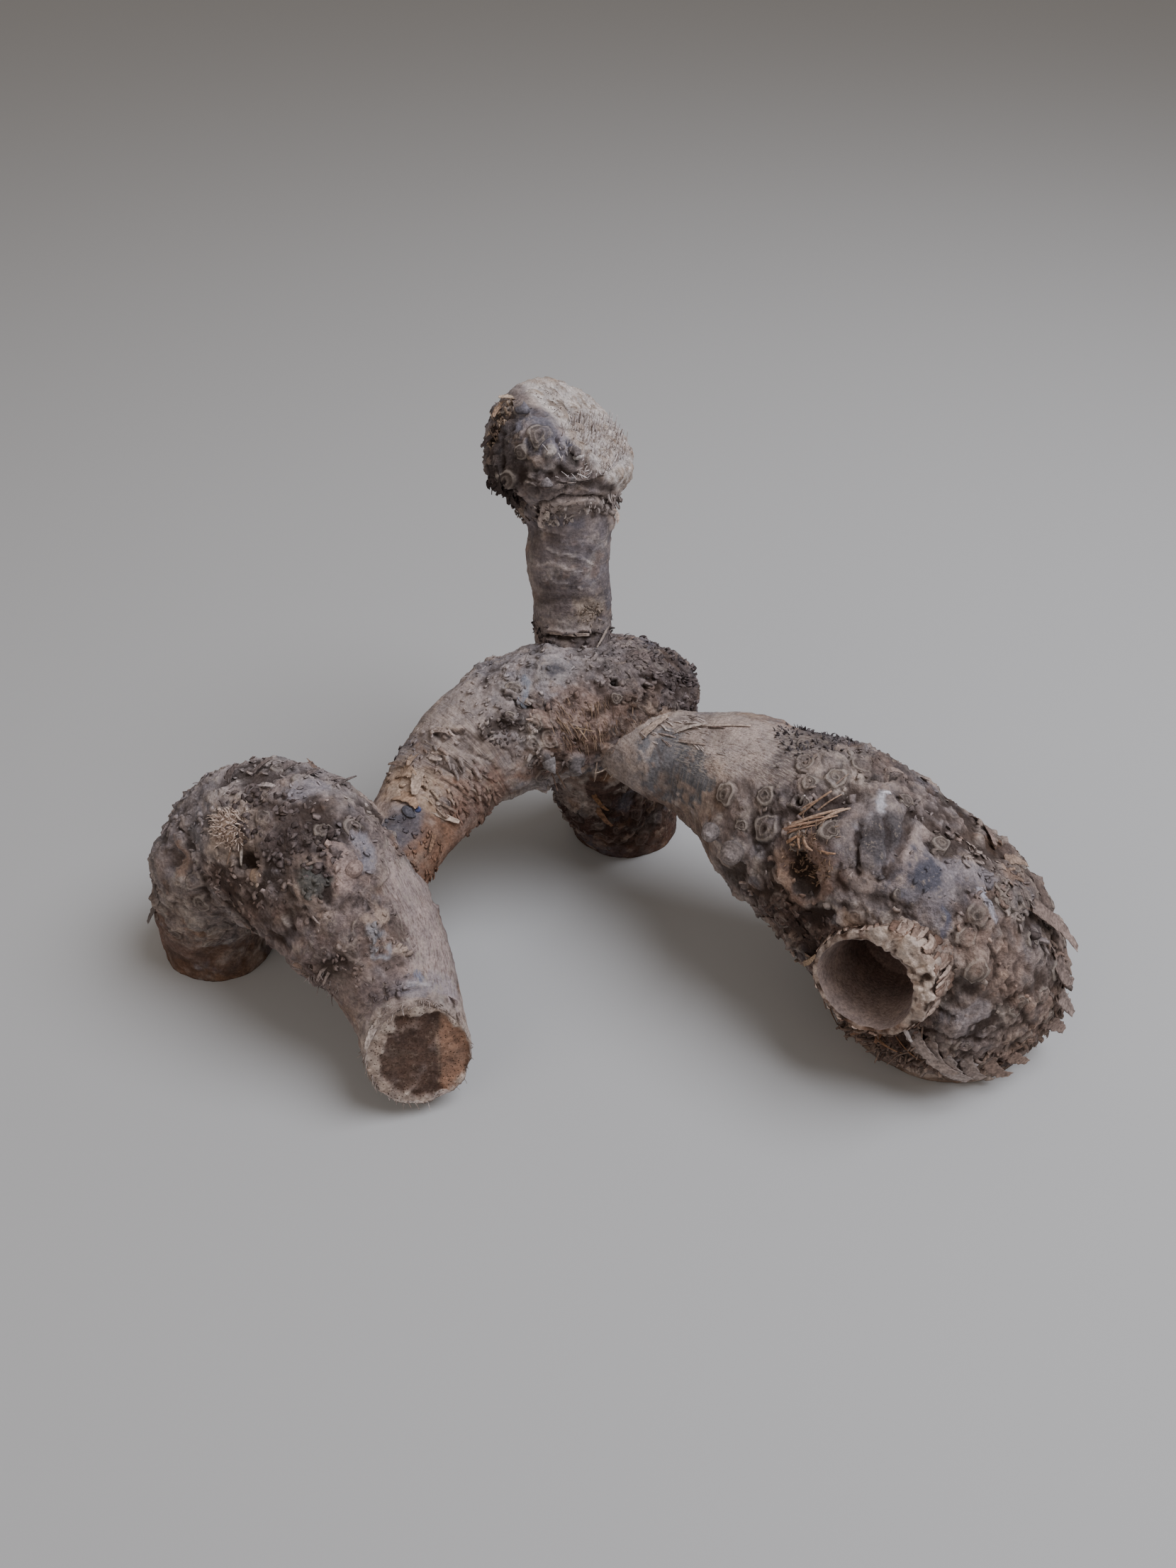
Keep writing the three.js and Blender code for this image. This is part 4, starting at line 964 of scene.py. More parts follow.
def bark_material():
    """Colour = tone times blotches times specks, then a row of layers over it; bump = a sum of grains times masks."""
    material, tree, shader = new_material("dried_bamboo_rhizome_bark_dusty")
    shader.inputs["Specular IOR Level"].default_value = 0.22
    add = partial(add_node, tree)
    place = add("TexCoord", "Object", [])
    tone = add("Attribute", "Color", [], attribute_name="tone")
    grown = add("Attribute", "Vector", [], attribute_name="grown")  # along the limb and across it, in mm
    scar, tint, rough, bare, ringed, edge, low, sawn = (
        add("Attribute", "Fac", [], attribute_name=name)
        for name in ("scar", "tint", "rough", "bare", "ringed", "edge", "low", "sawn"))
    blotch, speck, dirt = (
        add("TexNoise", "Fac", {"Vector": place, "Scale": 1000 / size, "Detail": detail, "Roughness": roughness})
        for size, detail, roughness in ((7, 3, 0.6), (1.3, 4, 0.7), (2.6, 5, 0.75)))
    crumb, bundles = (add("TexVoronoi", "Distance", {"Vector": place, "Scale": 1000 / size}) for size in (1.9, 1.2))
    fibre, line = (
        add("TexNoise", "Fac", {"Vector": add("Mapping", 0, {"Vector": grown, "Scale": stretch}),
                                "Scale": 1 / size, "Detail": 3, "Roughness": 0.65})
        for size, stretch in ((0.9, (0.07, 1, 1)), (1.0, (1, 0.06, 0.06))))

    ring = add("FloatCurve", "Value", {"Value": add("Math", 0, [scar, 2.0], operation="DIVIDE")})
    curve = ring.node.mapping.curves[0]
    for x, y in SCAR_RINGS[1:-1]:
        curve.points.new(x, y)
    for point, xy in zip(sorted(curve.points, key=lambda p: p.location[0]), SCAR_RINGS):
        point.location = xy
    ring.node.mapping.update()
    in_scar = add("MapRange", 0, [scar, 0.95, 1.35, 1.0, 0.0])
    scar_colour = add("ValToRGB", "Color", {"Fac": ring})
    ramp = scar_colour.node.color_ramp
    ramp.elements[0].color, ramp.elements[0].position = linear("#2a211d"), 0.1
    ramp.elements[1].color, ramp.elements[1].position = linear("#a89d94"), 0.75
    ramp.elements.new(0.35).color = linear("#6c615a")

    shade = add("MapRange", 0, [speck, 0.32, 0.68, 0.62, 1.3])
    blotches = [add("MapRange", 0, [blotch, 0.3, 0.7, least, most])
                for least, most in ((0.72, 1.24), (0.74, 1.22), (0.78, 1.2))]
    colour = tone
    for gain in (blotches, [shade] * 3):
        colour = add("Mix", 2, {0: 1.0, 6: colour, 7: add("CombineColor", 0, gain)}, data_type="RGBA",
                     blend_type="MULTIPLY")
    layers = [  # where a grain passes two levels, and a mask times a strength
        (add("MapRange", 0, [grain, start, full]), add("Math", 0, [mask, strength], operation="MULTIPLY"), linear(hue))
        for grain, start, full, mask, strength, hue in (
            (line, 0.52, 0.68, ringed, 0.55, "#b5a493"), (line, 0.45, 0.33, ringed, 0.6, "#4a3a30"),
            (fibre, 0.5, 0.62, bare, 0.6, "#beb1a6"), (fibre, 0.46, 0.36, bare, 0.55, "#6d5c50"))
    ] + [  # ring edges, scars, painted shade in the hollows, dust that stays off them, and the pores of a sawn end
        (edge, 0.5, linear("#9d8f83")),
        (in_scar, add("MapRange", 0, [tint, 0, 0.8, 0.06, 0.7]), scar_colour),
        # Painted shade: the lower a point lies in the relief, the more of this dark brown it gets.
        (add("MapRange", 0, [low, 0.12, 0.9, 0.0, 0.78]), 1.0, linear("#33261f")),
        (add("MapRange", 0, [dirt, 0.56, 0.66]), add("MapRange", 0, [low, 0.2, -0.5, 0.1, 0.65]), linear("#a89a8c")),
        (sawn, add("MapRange", 0, [bundles, 0.32, 0.14]), linear("#46352a")),
    ]
    for one, other, hue in layers:
        weight = add("Math", 0, [one, other], operation="MULTIPLY")
        colour = add("Mix", 2, {0: weight, 6: colour, 7: hue}, data_type="RGBA")
    tree.links.new(colour, shader.inputs["Base Color"])
    tree.links.new(add("MapRange", 0, [speck, 0.3, 0.7, 0.82, 0.98]), shader.inputs["Roughness"])

    bumps = (  # heights and how much of each, in mm
        (add("Math", 0, [speck, 0.5], operation="SUBTRACT"), add("MapRange", 0, [rough, 0, 1, 0.5, 1.1])),
        (add("Math", 0, [0.5, crumb], operation="SUBTRACT"), add("Math", 0, [rough, 0.5], operation="MULTIPLY")),
        (add("Math", 0, [fibre, 0.5], operation="SUBTRACT"), add("Math", 0, [bare, 1.1], operation="MULTIPLY")),
        (add("Math", 0, [line, 0.5], operation="SUBTRACT"), add("Math", 0, [ringed, 0.9], operation="MULTIPLY")),
        (ring, add("Math", 0, [in_scar, add("MapRange", 0, [tint, 0, 0.8, 0.25, 1.1])], operation="MULTIPLY")),
    )
    height = 0.0
    for value, amount in bumps:
        part = add("Math", 0, [value, amount], operation="MULTIPLY")
        height = add("Math", 0, [part, height], operation="ADD")
    bump = add("Bump", "Normal", {"Height": height, "Strength": 1.0, "Distance": 0.001})
    tree.links.new(bump, shader.inputs["Normal"])
    return material


bark = bark_material()
print("bark has", len(bark.node_tree.nodes), "nodes")

# %% [markdown]
# ## Growing the limbs
# Each limb is now a grid pushed out along its own normals by its relief. A limb that grows out of another starts a
# little inside it. The top limb is sliced, and its cut is painted as pale shaved fibre. The left limb's sawn end has a
# pale rim round a sunken brown face, with a tan strip of sounder wood at one side. The middle limb ends in a low dome
# of soil. Where the cane stub's hollow goes into the right limb, the skin sinks out of its way.

# %% The stub's axis and rims
# Places in mm. The wall is thick on the side of the limb and thin on the other: a row of a rim is (degrees, radius).
STUB = {"base": np.array([130.0, -56, 56]), "rim": np.array([102.0, -94, 67]), "depth": 34,
        "to_thick": np.array([0.8, 0.3, 0.6])}
STUB["height"] = float(np.linalg.norm(STUB["rim"] - STUB["base"]))
STUB["axis"] = (STUB["rim"] - STUB["base"]) / STUB["height"]
away = STUB["to_thick"] - STUB["axis"] * (STUB["to_thick"] @ STUB["axis"])
STUB["away"] = away / np.linalg.norm(away)
STUB["beside"] = np.cross(STUB["axis"], STUB["away"])
OUTER_RIM = [(-164, 22.8), (-123, 23.6), (-90, 23.8), (-53, 25.6), (-23, 28.2), (2, 29), (25, 25.5), (45, 21),
             (75, 19.5), (103, 19.5), (149, 22.2)]
HOLE_RIM = [(-164, 21.2), (-123, 21.8), (-64, 19.4), (-32, 19.2), (7, 17.4), (55, 17.2), (103, 17.4), (149, 20.5)]


def round_rim(table, angle):
    """A radius read from a table of (degrees, radius) that closes on itself, straight between its rows."""
    return np.interp(np.degrees(angle), [row[0] for row in table], [row[1] for row in table], period=360)


def make_room(points):
    """Points of the right limb within the stub's hollow drop below its bottom, down the line of its axis."""
    gap, under = 0.9, 4  # mm of wall beside the hollow, and under its bottom
    from_base = points - STUB["base"]
    height = from_base @ STUB["axis"]
    across, beside = from_base @ STUB["away"], from_base @ STUB["beside"]
    wall = round_rim(HOLE_RIM, np.arctan2(beside, across)) + gap
    bottom = STUB["height"] - STUB["depth"] - under
    drop = np.where((np.hypot(across, beside) < wall) & (height > bottom), height - bottom, 0)
    return points - drop[..., None] * STUB["axis"]


print("the stub is", round(STUB["height"]), "mm high and", STUB["depth"], "mm deep")


# %% Sawn and shaved ends
SHAVED = {"point": np.array([-8.0, 50, 212]), "normal": np.array([0.72, 0.32, 0.61])}


def sawn_face(colour, grid, relief):
    """The left limb's end: brown, with tan wood at one side past a pale line, all sunk inside a pale crumbly rim."""
    crumbs = rough_noise(grid["points"], 5, 3, 23)
    length = LIMBS["left"]["length"]
    end = (grid["cap"] < 0.995) & (grid["along"] > length / 2)
    aside = grid["cap"] * np.cos(grid["angle"]) + 0.05 * np.sin(3 * grid["cap"] * np.sin(grid["angle"]))
    face = mix("#5f4b42", "#84726a", smooth(crumbs * 1.5))
    face = mix(face, "#a5816c", smooth((aside - 0.4) / 0.08) * smooth(0.8 + crumbs))
    face = mix(face, "#b89c86", 0.6 * np.exp(-((aside - 0.4) / 0.02) ** 2) * smooth(0.5 + 2 * crumbs))
    rim = smooth((grid["cap"] + 0.14 * crumbs - 0.14 * np.cos(grid["angle"]) - 0.8) / 0.08)
    face = mix(face, mix("#a8968a", "#cdbdb0", smooth(crumbs * 2)), rim)
    sunk = -1.4 * (1 - rim) + 1.1 * crumbs
    near = smooth((grid["along"] - length + 4) / 4) * ~end
    relief = relief - 1.2 * near ** 2 + 1.3 * crumbs * near
    return mix(colour, face, 1.0 * end), np.where(end, sunk - 0.8, relief), 1.0 * end


def shaved_face(colour, grid, relief):
    """The top limb's slanting cut: pale fibres that run across it, with dirt between them."""
    points = grid["points"]
    crumbs = rough_noise(points, 5, 3, 23)
    pale = smooth(((points - SHAVED["point"]) @ SHAVED["normal"] + 2.5 * crumbs) / 2.5) * (grid["along"] > 70)
    fibres = noise(points @ np.array([[0.12, 0.99, 0], [0.99, -0.12, 0], [0, 0, 1]]).T * [1, 0.18, 1], 1.6, 24)
    face = mix(mix("#e6ded9", "#a8998e", smooth(1.6 * fibres - 0.1)), "#a8917f", 0.6 * smooth(crumbs * 1.8))
    flat = 0.9 * fibres * smooth(crumbs + 0.6) + 1.3 * crumbs
    return mix(colour, face, pale), relief * (1 - pale) + flat * pale, pale


ENDS = {"left": sawn_face, "top": shaved_face}
print("cut ends", list(ENDS))

# %% Limbs
ROOTED = {"middle": 14, "right": 8}  # mm by which a limb's very start is drawn back into the limb it grows from
ROOTED_OVER = 8  # mm of its length over which that fades
DOMED = {"middle": 5}  # mm by which the middle of a closed end bulges
SKINS = {}
for limb_name, limb in LIMBS.items():
    grid = bare_grid(limb)
    back = ROOTED.get(limb_name, 0) * np.clip(1 - grid["along"] / ROOTED_OVER, 0, 1)
    grid["points"] = grid["points"] - back[..., None] * grid["ring"]["tangent"][0]
    dome = DOMED.get(limb_name, 0) * (1 - grid["cap"] ** 2) * (grid["along"] > 1)
    grid["points"] = grid["points"] + dome[..., None] * grid["ring"]["tangent"][-1]
    if limb_name == "top":
        grid["points"] = slice_off(grid["points"], np.array([-13.0, 76, 195]), OBLIQUE_CUT)
    relief, values = skin(limb_name, grid)
    if limb_name in ENDS:
        values["tone"], relief, fresh = ENDS[limb_name](values["tone"], grid, relief)
        values["bare"] = np.maximum(values["bare"], (limb_name == "top") * fresh)
        values["rough"] = values["rough"] * (1 - 0.7 * fresh)
        values["scar"] = np.maximum(values["scar"], 2.0 * fresh)
        values["low"] = values["low"] * (1 - 0.8 * fresh)
    normal = normals_of(grid["points"])
    outer = grid["points"] + normal * relief[..., None]
    if limb_name in ("left", "rear", "right"):
        outer[..., 2] = np.maximum(outer[..., 2], 0.0)  # these stand on the floor
    if limb_name == "right":
        outer = make_room(outer)
    SKINS[limb_name] = {"points": outer, "normal": normal, "along": grid["along"][:, 0], "tone": values["tone"],
                        "radius": grid["radius"][:, 0], "tangent": grid["ring"]["tangent"]}
    values = {key: value[None] for key, value in values.items()}
    add_piece(f"{limb_name}_limb", outer[None], bark, values, stands_for_solid=True)

# %% [markdown]
# ## The stub of the cane
# One cane grew from the right limb and was cut off. Its stub is a cup: a wall carried round an axis, up the outside,
# over a torn rim and down the inside to the floor of the hollow. The wall is thick and crumbly on the side of the limb
# and as thin as a shell on the other, so two tables give the outer and the inner edge of the rim by angle. A tube with
# a Solidify modifier would have the same wall all round.

# %% Stub
SLEEVE = 6  # mm by which the wall widens towards its foot, inside the limb
FOOT = 10.0  # mm above the base where the wall starts
NARROWING = 0.24  # share by which the hollow narrows towards its bottom


def stub_grid(columns=260):
    """The cup as a grid: its radius and height follow the rows, and the rim's height is ragged with noise by angle."""
    angle = np.linspace(0, 2 * np.pi, columns, endpoint=False)[None, :]
    outer, hole = round_rim(OUTER_RIM, angle), round_rim(HOLE_RIM, angle)
    edge = np.stack([np.cos(angle[0]), np.sin(angle[0]), np.zeros(columns)], -1) * 22
    thick = smooth((outer - hole) / 9)
    rim = STUB["height"] + 1.6 * rough_noise(edge, 9, 3, 31) + 2.6 * rough_noise(edge, 2.6, 2, 32) * thick + 1.5 * thick
    up, over = np.linspace(0, 1, 70)[:, None], np.linspace(0, 1, 14)[1:-1, None]
    down, floor_in = np.linspace(0, 1, 60)[:, None], np.linspace(1, 0.03, 24)[1:, None]
    bottom = STUB["height"] - STUB["depth"]
    radius = np.concatenate([outer + SLEEVE * (1 - up) ** 1.5, outer + (hole - outer) * over,
                             hole * (1 - NARROWING * down), hole * (1 - NARROWING) * floor_in])
    height = np.concatenate([FOOT + (rim - FOOT) * up, rim + 1.2 * np.sin(np.pi * over) * thick,
                             rim + (bottom - rim) * down, bottom - 3 * (1 - floor_in ** 2) + 0 * rim])
    part = np.concatenate([0 * up, 0.5 + 0 * over, 1 + 0 * down, 1 + 0 * floor_in]) * np.ones_like(angle)
    points = (STUB["base"] + radius[..., None] * (np.cos(angle)[..., None] * STUB["away"]
              + np.sin(angle)[..., None] * STUB["beside"]) + height[..., None] * STUB["axis"])
    return {"points": points, "part": part, "angle": angle + 0 * part, "radius": radius, "height": height,
            "thick": thick + 0 * part, "rim": rim + 0 * part}


cup = stub_grid()
print("stub grid", cup["points"].shape[:2])

# %% The stub's relief and colours
points, part, near_rim = cup["points"], cup["part"], smooth(1 - (cup["rim"] - cup["height"]) / 9)
outside, wall_side = part < 1, [cup["radius"] * np.cos(cup["angle"]), cup["radius"] * np.sin(cup["angle"])]
fibres = noise(np.stack([cup["height"] * 0.12] + wall_side, -1), 1.5, 33)
layers = noise(np.stack([cup["radius"] * 1.6, 0.3 * points[..., 0], 0.3 * points[..., 2]], -1), 1.6, 34)
crumbs = rough_noise(points, 3.2, 3, 35)
relief = np.select([part == 0, part == 0.5], [1.6 * crumbs + 0.5 * fibres * near_rim, 1.5 * crumbs + 0.8 * layers],
                   0.3 * fibres + 0.5 * crumbs * near_rim * cup["thick"])
relief = relief * np.where(part == 0, 0.4 + 0.6 * cup["thick"] + 0.5 * (1 - near_rim), 0.15 + 0.85 * cup["thick"])
torn = smooth(0.4 + 1.5 * crumbs + 0.6 * fibres + 0.5 * cup["thick"])
colour = mix("#a39187", "#6b584d", smooth(0.5 - crumbs))
colour = mix(colour, "#e6d3c4", near_rim * torn * (0.35 + 0.6 * cup["thick"]))
colour = mix(colour, "#94705a", 0.6 * smooth(rough_noise(points, 6, 2, 36) * 1.8) * outside)
# Inside the hollow the paint darkens with depth below the rim: painted shade.
inside = mix("#b3a19a", "#5d4740", 0.85 * smooth((cup["rim"] - cup["height"] - 4) / 26))
inside = mix(inside, "#c0aea4", 0.15 * smooth(fibres))
nothing = np.zeros_like(part)
values = {"tone": np.where(outside[..., None], colour, inside), "scar": nothing + 2, "tint": nothing + 0.5,
          "rough": np.where(outside, 0.9, 0.15), "bare": np.where(outside, 0.3, 0.15), "ringed": nothing,
          "edge": nothing, "sawn": nothing, "low": np.clip(-crumbs * outside, -1, 1),
          "grown": np.stack([cup["height"]] + wall_side, -1)}
values = {key: value[None] for key, value in values.items()}
add_piece("cane_stub", (points + normals_of(points) * relief[..., None])[None], bark, values, stands_for_solid=True)

# %% [markdown]
# ## Fibres, chips and scraps
# Torn bamboo ends in straw, hair roots and scraps of sheath, and old soil sits on it in chips. All of these are one
# shape: a ring of points carried along a short bowed line, flat or round, pointed or blunt. Each group is worked out at
# once for all its members, and stands on the skin where its table says, in the tone of the skin there or in its own.
# Hair could grow them too, but plain closed meshes can be used anywhere.

# %% Blades
THINNEST = 0.12  # half of a blade's least thickness, in mm


def blades(roots, tips, normals, widths, bows, flat=0.4, taper=0.7, curl=0.0, ragged=0.0, rows=6, columns=4, seed=0):
    """Blades as pieces by rows by columns by xyz: a line from root to tip, bowed up along the normal, and round it an
    ellipse that narrows towards the tip. curl turns its edges up and ragged makes its edges uneven."""
    ways = tips - roots
    sides = np.cross(ways, normals)
    sides = sides / np.maximum(np.linalg.norm(sides, axis=1, keepdims=True), 1e-6)
    ups = np.cross(sides, ways) / np.maximum(np.linalg.norm(ways, axis=1, keepdims=True), 1e-6)
    member = np.arange(len(roots))[:, None, None]
    t = np.linspace(0, 1, rows)[None, :, None]
    angle = np.linspace(0, 2 * np.pi, columns, endpoint=False)[None, None, :]
    width = widths[:, None, None] / 2 * (1 - taper * t ** 1.8)
    width = width * (1 - ragged * draw(member * 31 + np.round(t * rows) * 7, np.round(angle * 3) + seed))
    x = np.cos(angle) * width
    y = np.sin(angle) * np.maximum(width * flat, THINNEST) + curl * width * np.cos(angle) ** 2
    line = roots[:, None, None] + ways[:, None, None] * t[..., None]
    line = line + (bows[:, None, None] * 4 * t * (1 - t))[..., None] * normals[:, None, None]
    drift = (widths[:, None, None] * 0.7 * (draw(member, seed) - 0.5) * np.sin(np.pi * t))[..., None]
    line = line + drift * sides[:, None, None]
    return line + x[..., None] * sides[:, None, None] + y[..., None] * ups[:, None, None]


def footing(limb_name, along, degrees):
    """Where things stand on a limb's skin: the nearest grid points, with their normal, the way along, and the tone."""
    at = SKINS[limb_name]
    rows = np.abs(at["along"][CAP_ROWS:-CAP_ROWS, None] - np.asarray(along)[None]).argmin(0) + CAP_ROWS
    columns = at["points"].shape[1]
    column = np.round(np.mod(np.asarray(degrees) / 360, 1) * columns).astype(int) % columns
    return at["points"][rows, column], at["normal"][rows, column], at["tangent"][rows], at["tone"][rows, column]


print("the left limb's eye stands at", footing("left", [129], [121])[0].round(1), "mm")

# %% Torn fibre's material
def fibre_material():
    """Dry shredded bamboo: the tone of each blade, streaked by a noise of 1.1 mm, dull and without gloss."""
    material, tree, shader = new_material("dry_bamboo_sheath_and_fibre_torn")
    shader.inputs["Specular IOR Level"].default_value = 0.2
    shader.inputs["Roughness"].default_value = 0.9
    add = partial(add_node, tree)
    place = add("TexCoord", "Object", [])
    streak = add("TexNoise", "Fac", {"Vector": place, "Scale": 1000 / 1.1, "Detail": 4.0})
    shade = add("MapRange", 0, [streak, 0.3, 0.7, 0.55, 1.25])
    tone = add("Attribute", "Color", [], attribute_name="tone")
    tree.links.new(add("VectorMath", 0, {0: tone, "Scale": shade}, operation="SCALE"), shader.inputs["Base Color"])
    bump = add("Bump", "Normal", {"Height": streak, "Strength": 1.0, "Distance": 0.0004})
    tree.links.new(bump, shader.inputs["Normal"])
    return material


def shaded(tones, shape, root_shade=0.6):
    """One colour for each blade, spread over its points: darker towards its root with painted shade where it meets the
    skin, and a little brighter at its tip.
    """
    shade = np.linspace(root_shade, 1.1, shape[1])[None, :, None, None]
    return tones[:, None, None] * shade * np.ones(shape[:3] + (1,))


fibre = fibre_material()
print("fibre has", len(fibre.node_tree.nodes), "nodes")

# %% Scraps seen one by one
# A row is limb, (along, angle) of the root, (along, angle) of the tip, width, lift of the tip, bow and colour. Lengths
# are in mm.
SCRAPS = [
    ("right", (10, 122), (18, 84), 5, 2.5, 1.0, "#b39e8b"),
    ("right", (21, 106), (36, 90), 3, 1.2, 0.5, "#bfae9d"),
    ("right", (23, 114), (40, 116), 2, 0.6, 0.3, "#a08c7b"),
    ("right", (29, 90), (51, 88), 2, 0.6, 0.5, "#b5a391"),
    ("right", (101, 84), (105, 76), 4, 1.5, 0.5, "#9c8a7e"),
    ("right", (128, 56), (132, 60), 5, 1.5, 0.5, "#9a877a"),
    ("right", (135, 56), (137, 74), 6, 2.0, 0.8, "#8d786c"),
    ("right", (142, 78), (148, 70), 6, 3.5, 0.5, "#a08873"),
    ("right", (151, 90), (162, 86), 9, 5.5, 1.2, "#8f7b6e"),
    ("right", (148, 92), (160, 80), 7, 4.5, 0.8, "#7b685c"),
    ("right", (165, 102), (181, 90), 8, 4.0, 0.6, "#96867c"),
    ("right", (178, 104), (188, 92), 8, 6.0, 0.4, "#8a786d"),
    ("right", (161, 96), (167, 92), 8, 3.5, 0.6, "#84746a"),
    ("right", (141, 220), (163, 224), 3, 2.0, 0.5, "#8a5d3c"),
    ("right", (139, 222), (152, 222), 2, 3.0, 0.5, "#6d4a32"),
    ("right", (166, 232), (204, 230), 3, 2.5, 0.5, "#7a5236"),
    ("right", (126, 216), (124, 194), 3, 3.0, 0.5, "#b09576"),
    ("right", (122, 206), (127, 200), 3, 2.0, 0.5, "#8c735c"),
    ("right", (120, 210), (133, 222), 3, 1.5, 0.5, "#4a3a32"),
    ("right", (159, 176), (168, 168), 8, 4.5, 1.0, "#a3968c"),
    ("right", (163, 170), (176, 160), 9, 5.0, 1.0, "#988a80"),
    ("right", (169, 164), (185, 154), 9, 5.0, 0.8, "#a79b92"),
    ("right", (174, 154), (187, 146), 8, 4.5, 0.6, "#8e8178"),
    ("right", (181, 142), (194, 128), 8, 3.5, 0.6, "#957f70"),
    ("right", (187, 128), (193, 116), 7, 3.5, 0.6, "#8f7a6b"),
    ("right", (155, 184), (165, 194), 3, 2.5, 0.5, "#7c5a41"),
    ("right", (159, 198), (166, 206), 4, 2.0, 0.5, "#76533a"),
    ("left", (95, 96), (102, 96), 4, 2.0, 1.2, "#b7aaa0"),
    ("left", (85, 98), (86, 86), 6, 3.0, 0.5, "#5d504a"),
    ("left", (89, 86), (93, 76), 7, 2.5, 0.5, "#6f635d"),
    ("left", (96, 76), (98, 68), 7, 3.0, 0.5, "#5a4e49"),
    ("left", (100, 70), (103, 60), 5, 3.0, 0.5, "#665a54"),
    ("left", (106, 62), (109, 54), 5, 3.0, 0.5, "#6d605a"),
    ("left", (153, 158), (155, 170), 1.8, 2.0, 0.5, "#8d7f75"),
    ("left", (156, 160), (159, 170), 1.6, 2.0, 0.5, "#85776d"),
    ("left", (48, 170), (24, 156), 4, 3.0, 0.5, "#3a302c"),
    ("left", (65, 128), (67, 140), 4, 3.0, 0.5, "#8a7b73"),
    ("left", (192, 48), (200, 50), 3, 2.5, 0.5, "#6b5c53"),
    ("left", (198, 40), (205, 42), 3, 2.5, 0.5, "#7d6e64"),
    ("left", (202, 148), (205, 170), 4, 2.0, 0.5, "#b7a99d"),
    ("left", (121, 34), (127, 34), 6, 1.5, 0.8, "#5d5556"),
    ("middle", (32, 356), (16, 10), 7, 2.6, 1.2, "#b39f8c"),
    ("middle", (27, 332), (27, 0), 8, 2.0, 0.8, "#a68d77"),
    ("middle", (14, 344), (11, 20), 7, 2.0, 0.8, "#a5866c"),
    ("middle", (17, 18), (21, 72), 4.5, 1.6, 1.0, "#b7a594"),
    ("middle", (21, 20), (23, 60), 2, 1.6, 0.8, "#6a5a50"),
    ("middle", (31, 342), (30, 320), 3, 3.5, 0.4, "#4a3d37"),
    ("middle", (38, 342), (31, 346), 5, 2.0, 0.6, "#a3886f"),
    ("middle", (50, 344), (53, 14), 3.5, 2.0, 1.0, "#b3a091"),
    ("middle", (77, 20), (86, 40), 2.5, 1.8, 0.8, "#9a8d84"),
    ("middle", (40, 354), (42, 18), 3, 1.5, 0.6, "#b09e8f"),
    ("middle", (8, 58), (5, 64), 3, 1.5, 0.6, "#856953"),
    ("top", (115, 276), (110, 284), 7, 2.0, 1.0, "#c9a98c"),
    ("top", (116, 274), (114, 276), 6, 2.5, 0.6, "#d0b89c"),
    # The next three are torn flaps painted as dark as the shadow they lie in: painted shade.
    ("top", (105, 290), (99, 294), 6, 4.0, 0.6, "#3a2e2a"),
    ("top", (97, 308), (85, 312), 7, 3.0, 0.6, "#2b221f"),
    ("top", (85, 314), (77, 320), 7, 3.0, 0.6, "#2f2622"),
    ("top", (77, 320), (71, 316), 5, 3.0, 0.6, "#8a7a6c"),
    ("top", (68, 334), (75, 346), 4, 1.2, 0.6, "#cfbfae"),
    ("top", (67, 62), (63, 70), 4, 1.2, 0.6, "#bfa995"),
    ("top", (20, 320), (20, 24), 3, 2.2, 0.5, "#a8988a"),
    ("rear", (35, 10), (47, 4), 4, 1.5, 0.8, "#7d5a3c"),
    ("rear", (26, 8), (38, 0), 3, 1.5, 0.8, "#8a6645"),
]
print("scraps", len(SCRAPS))

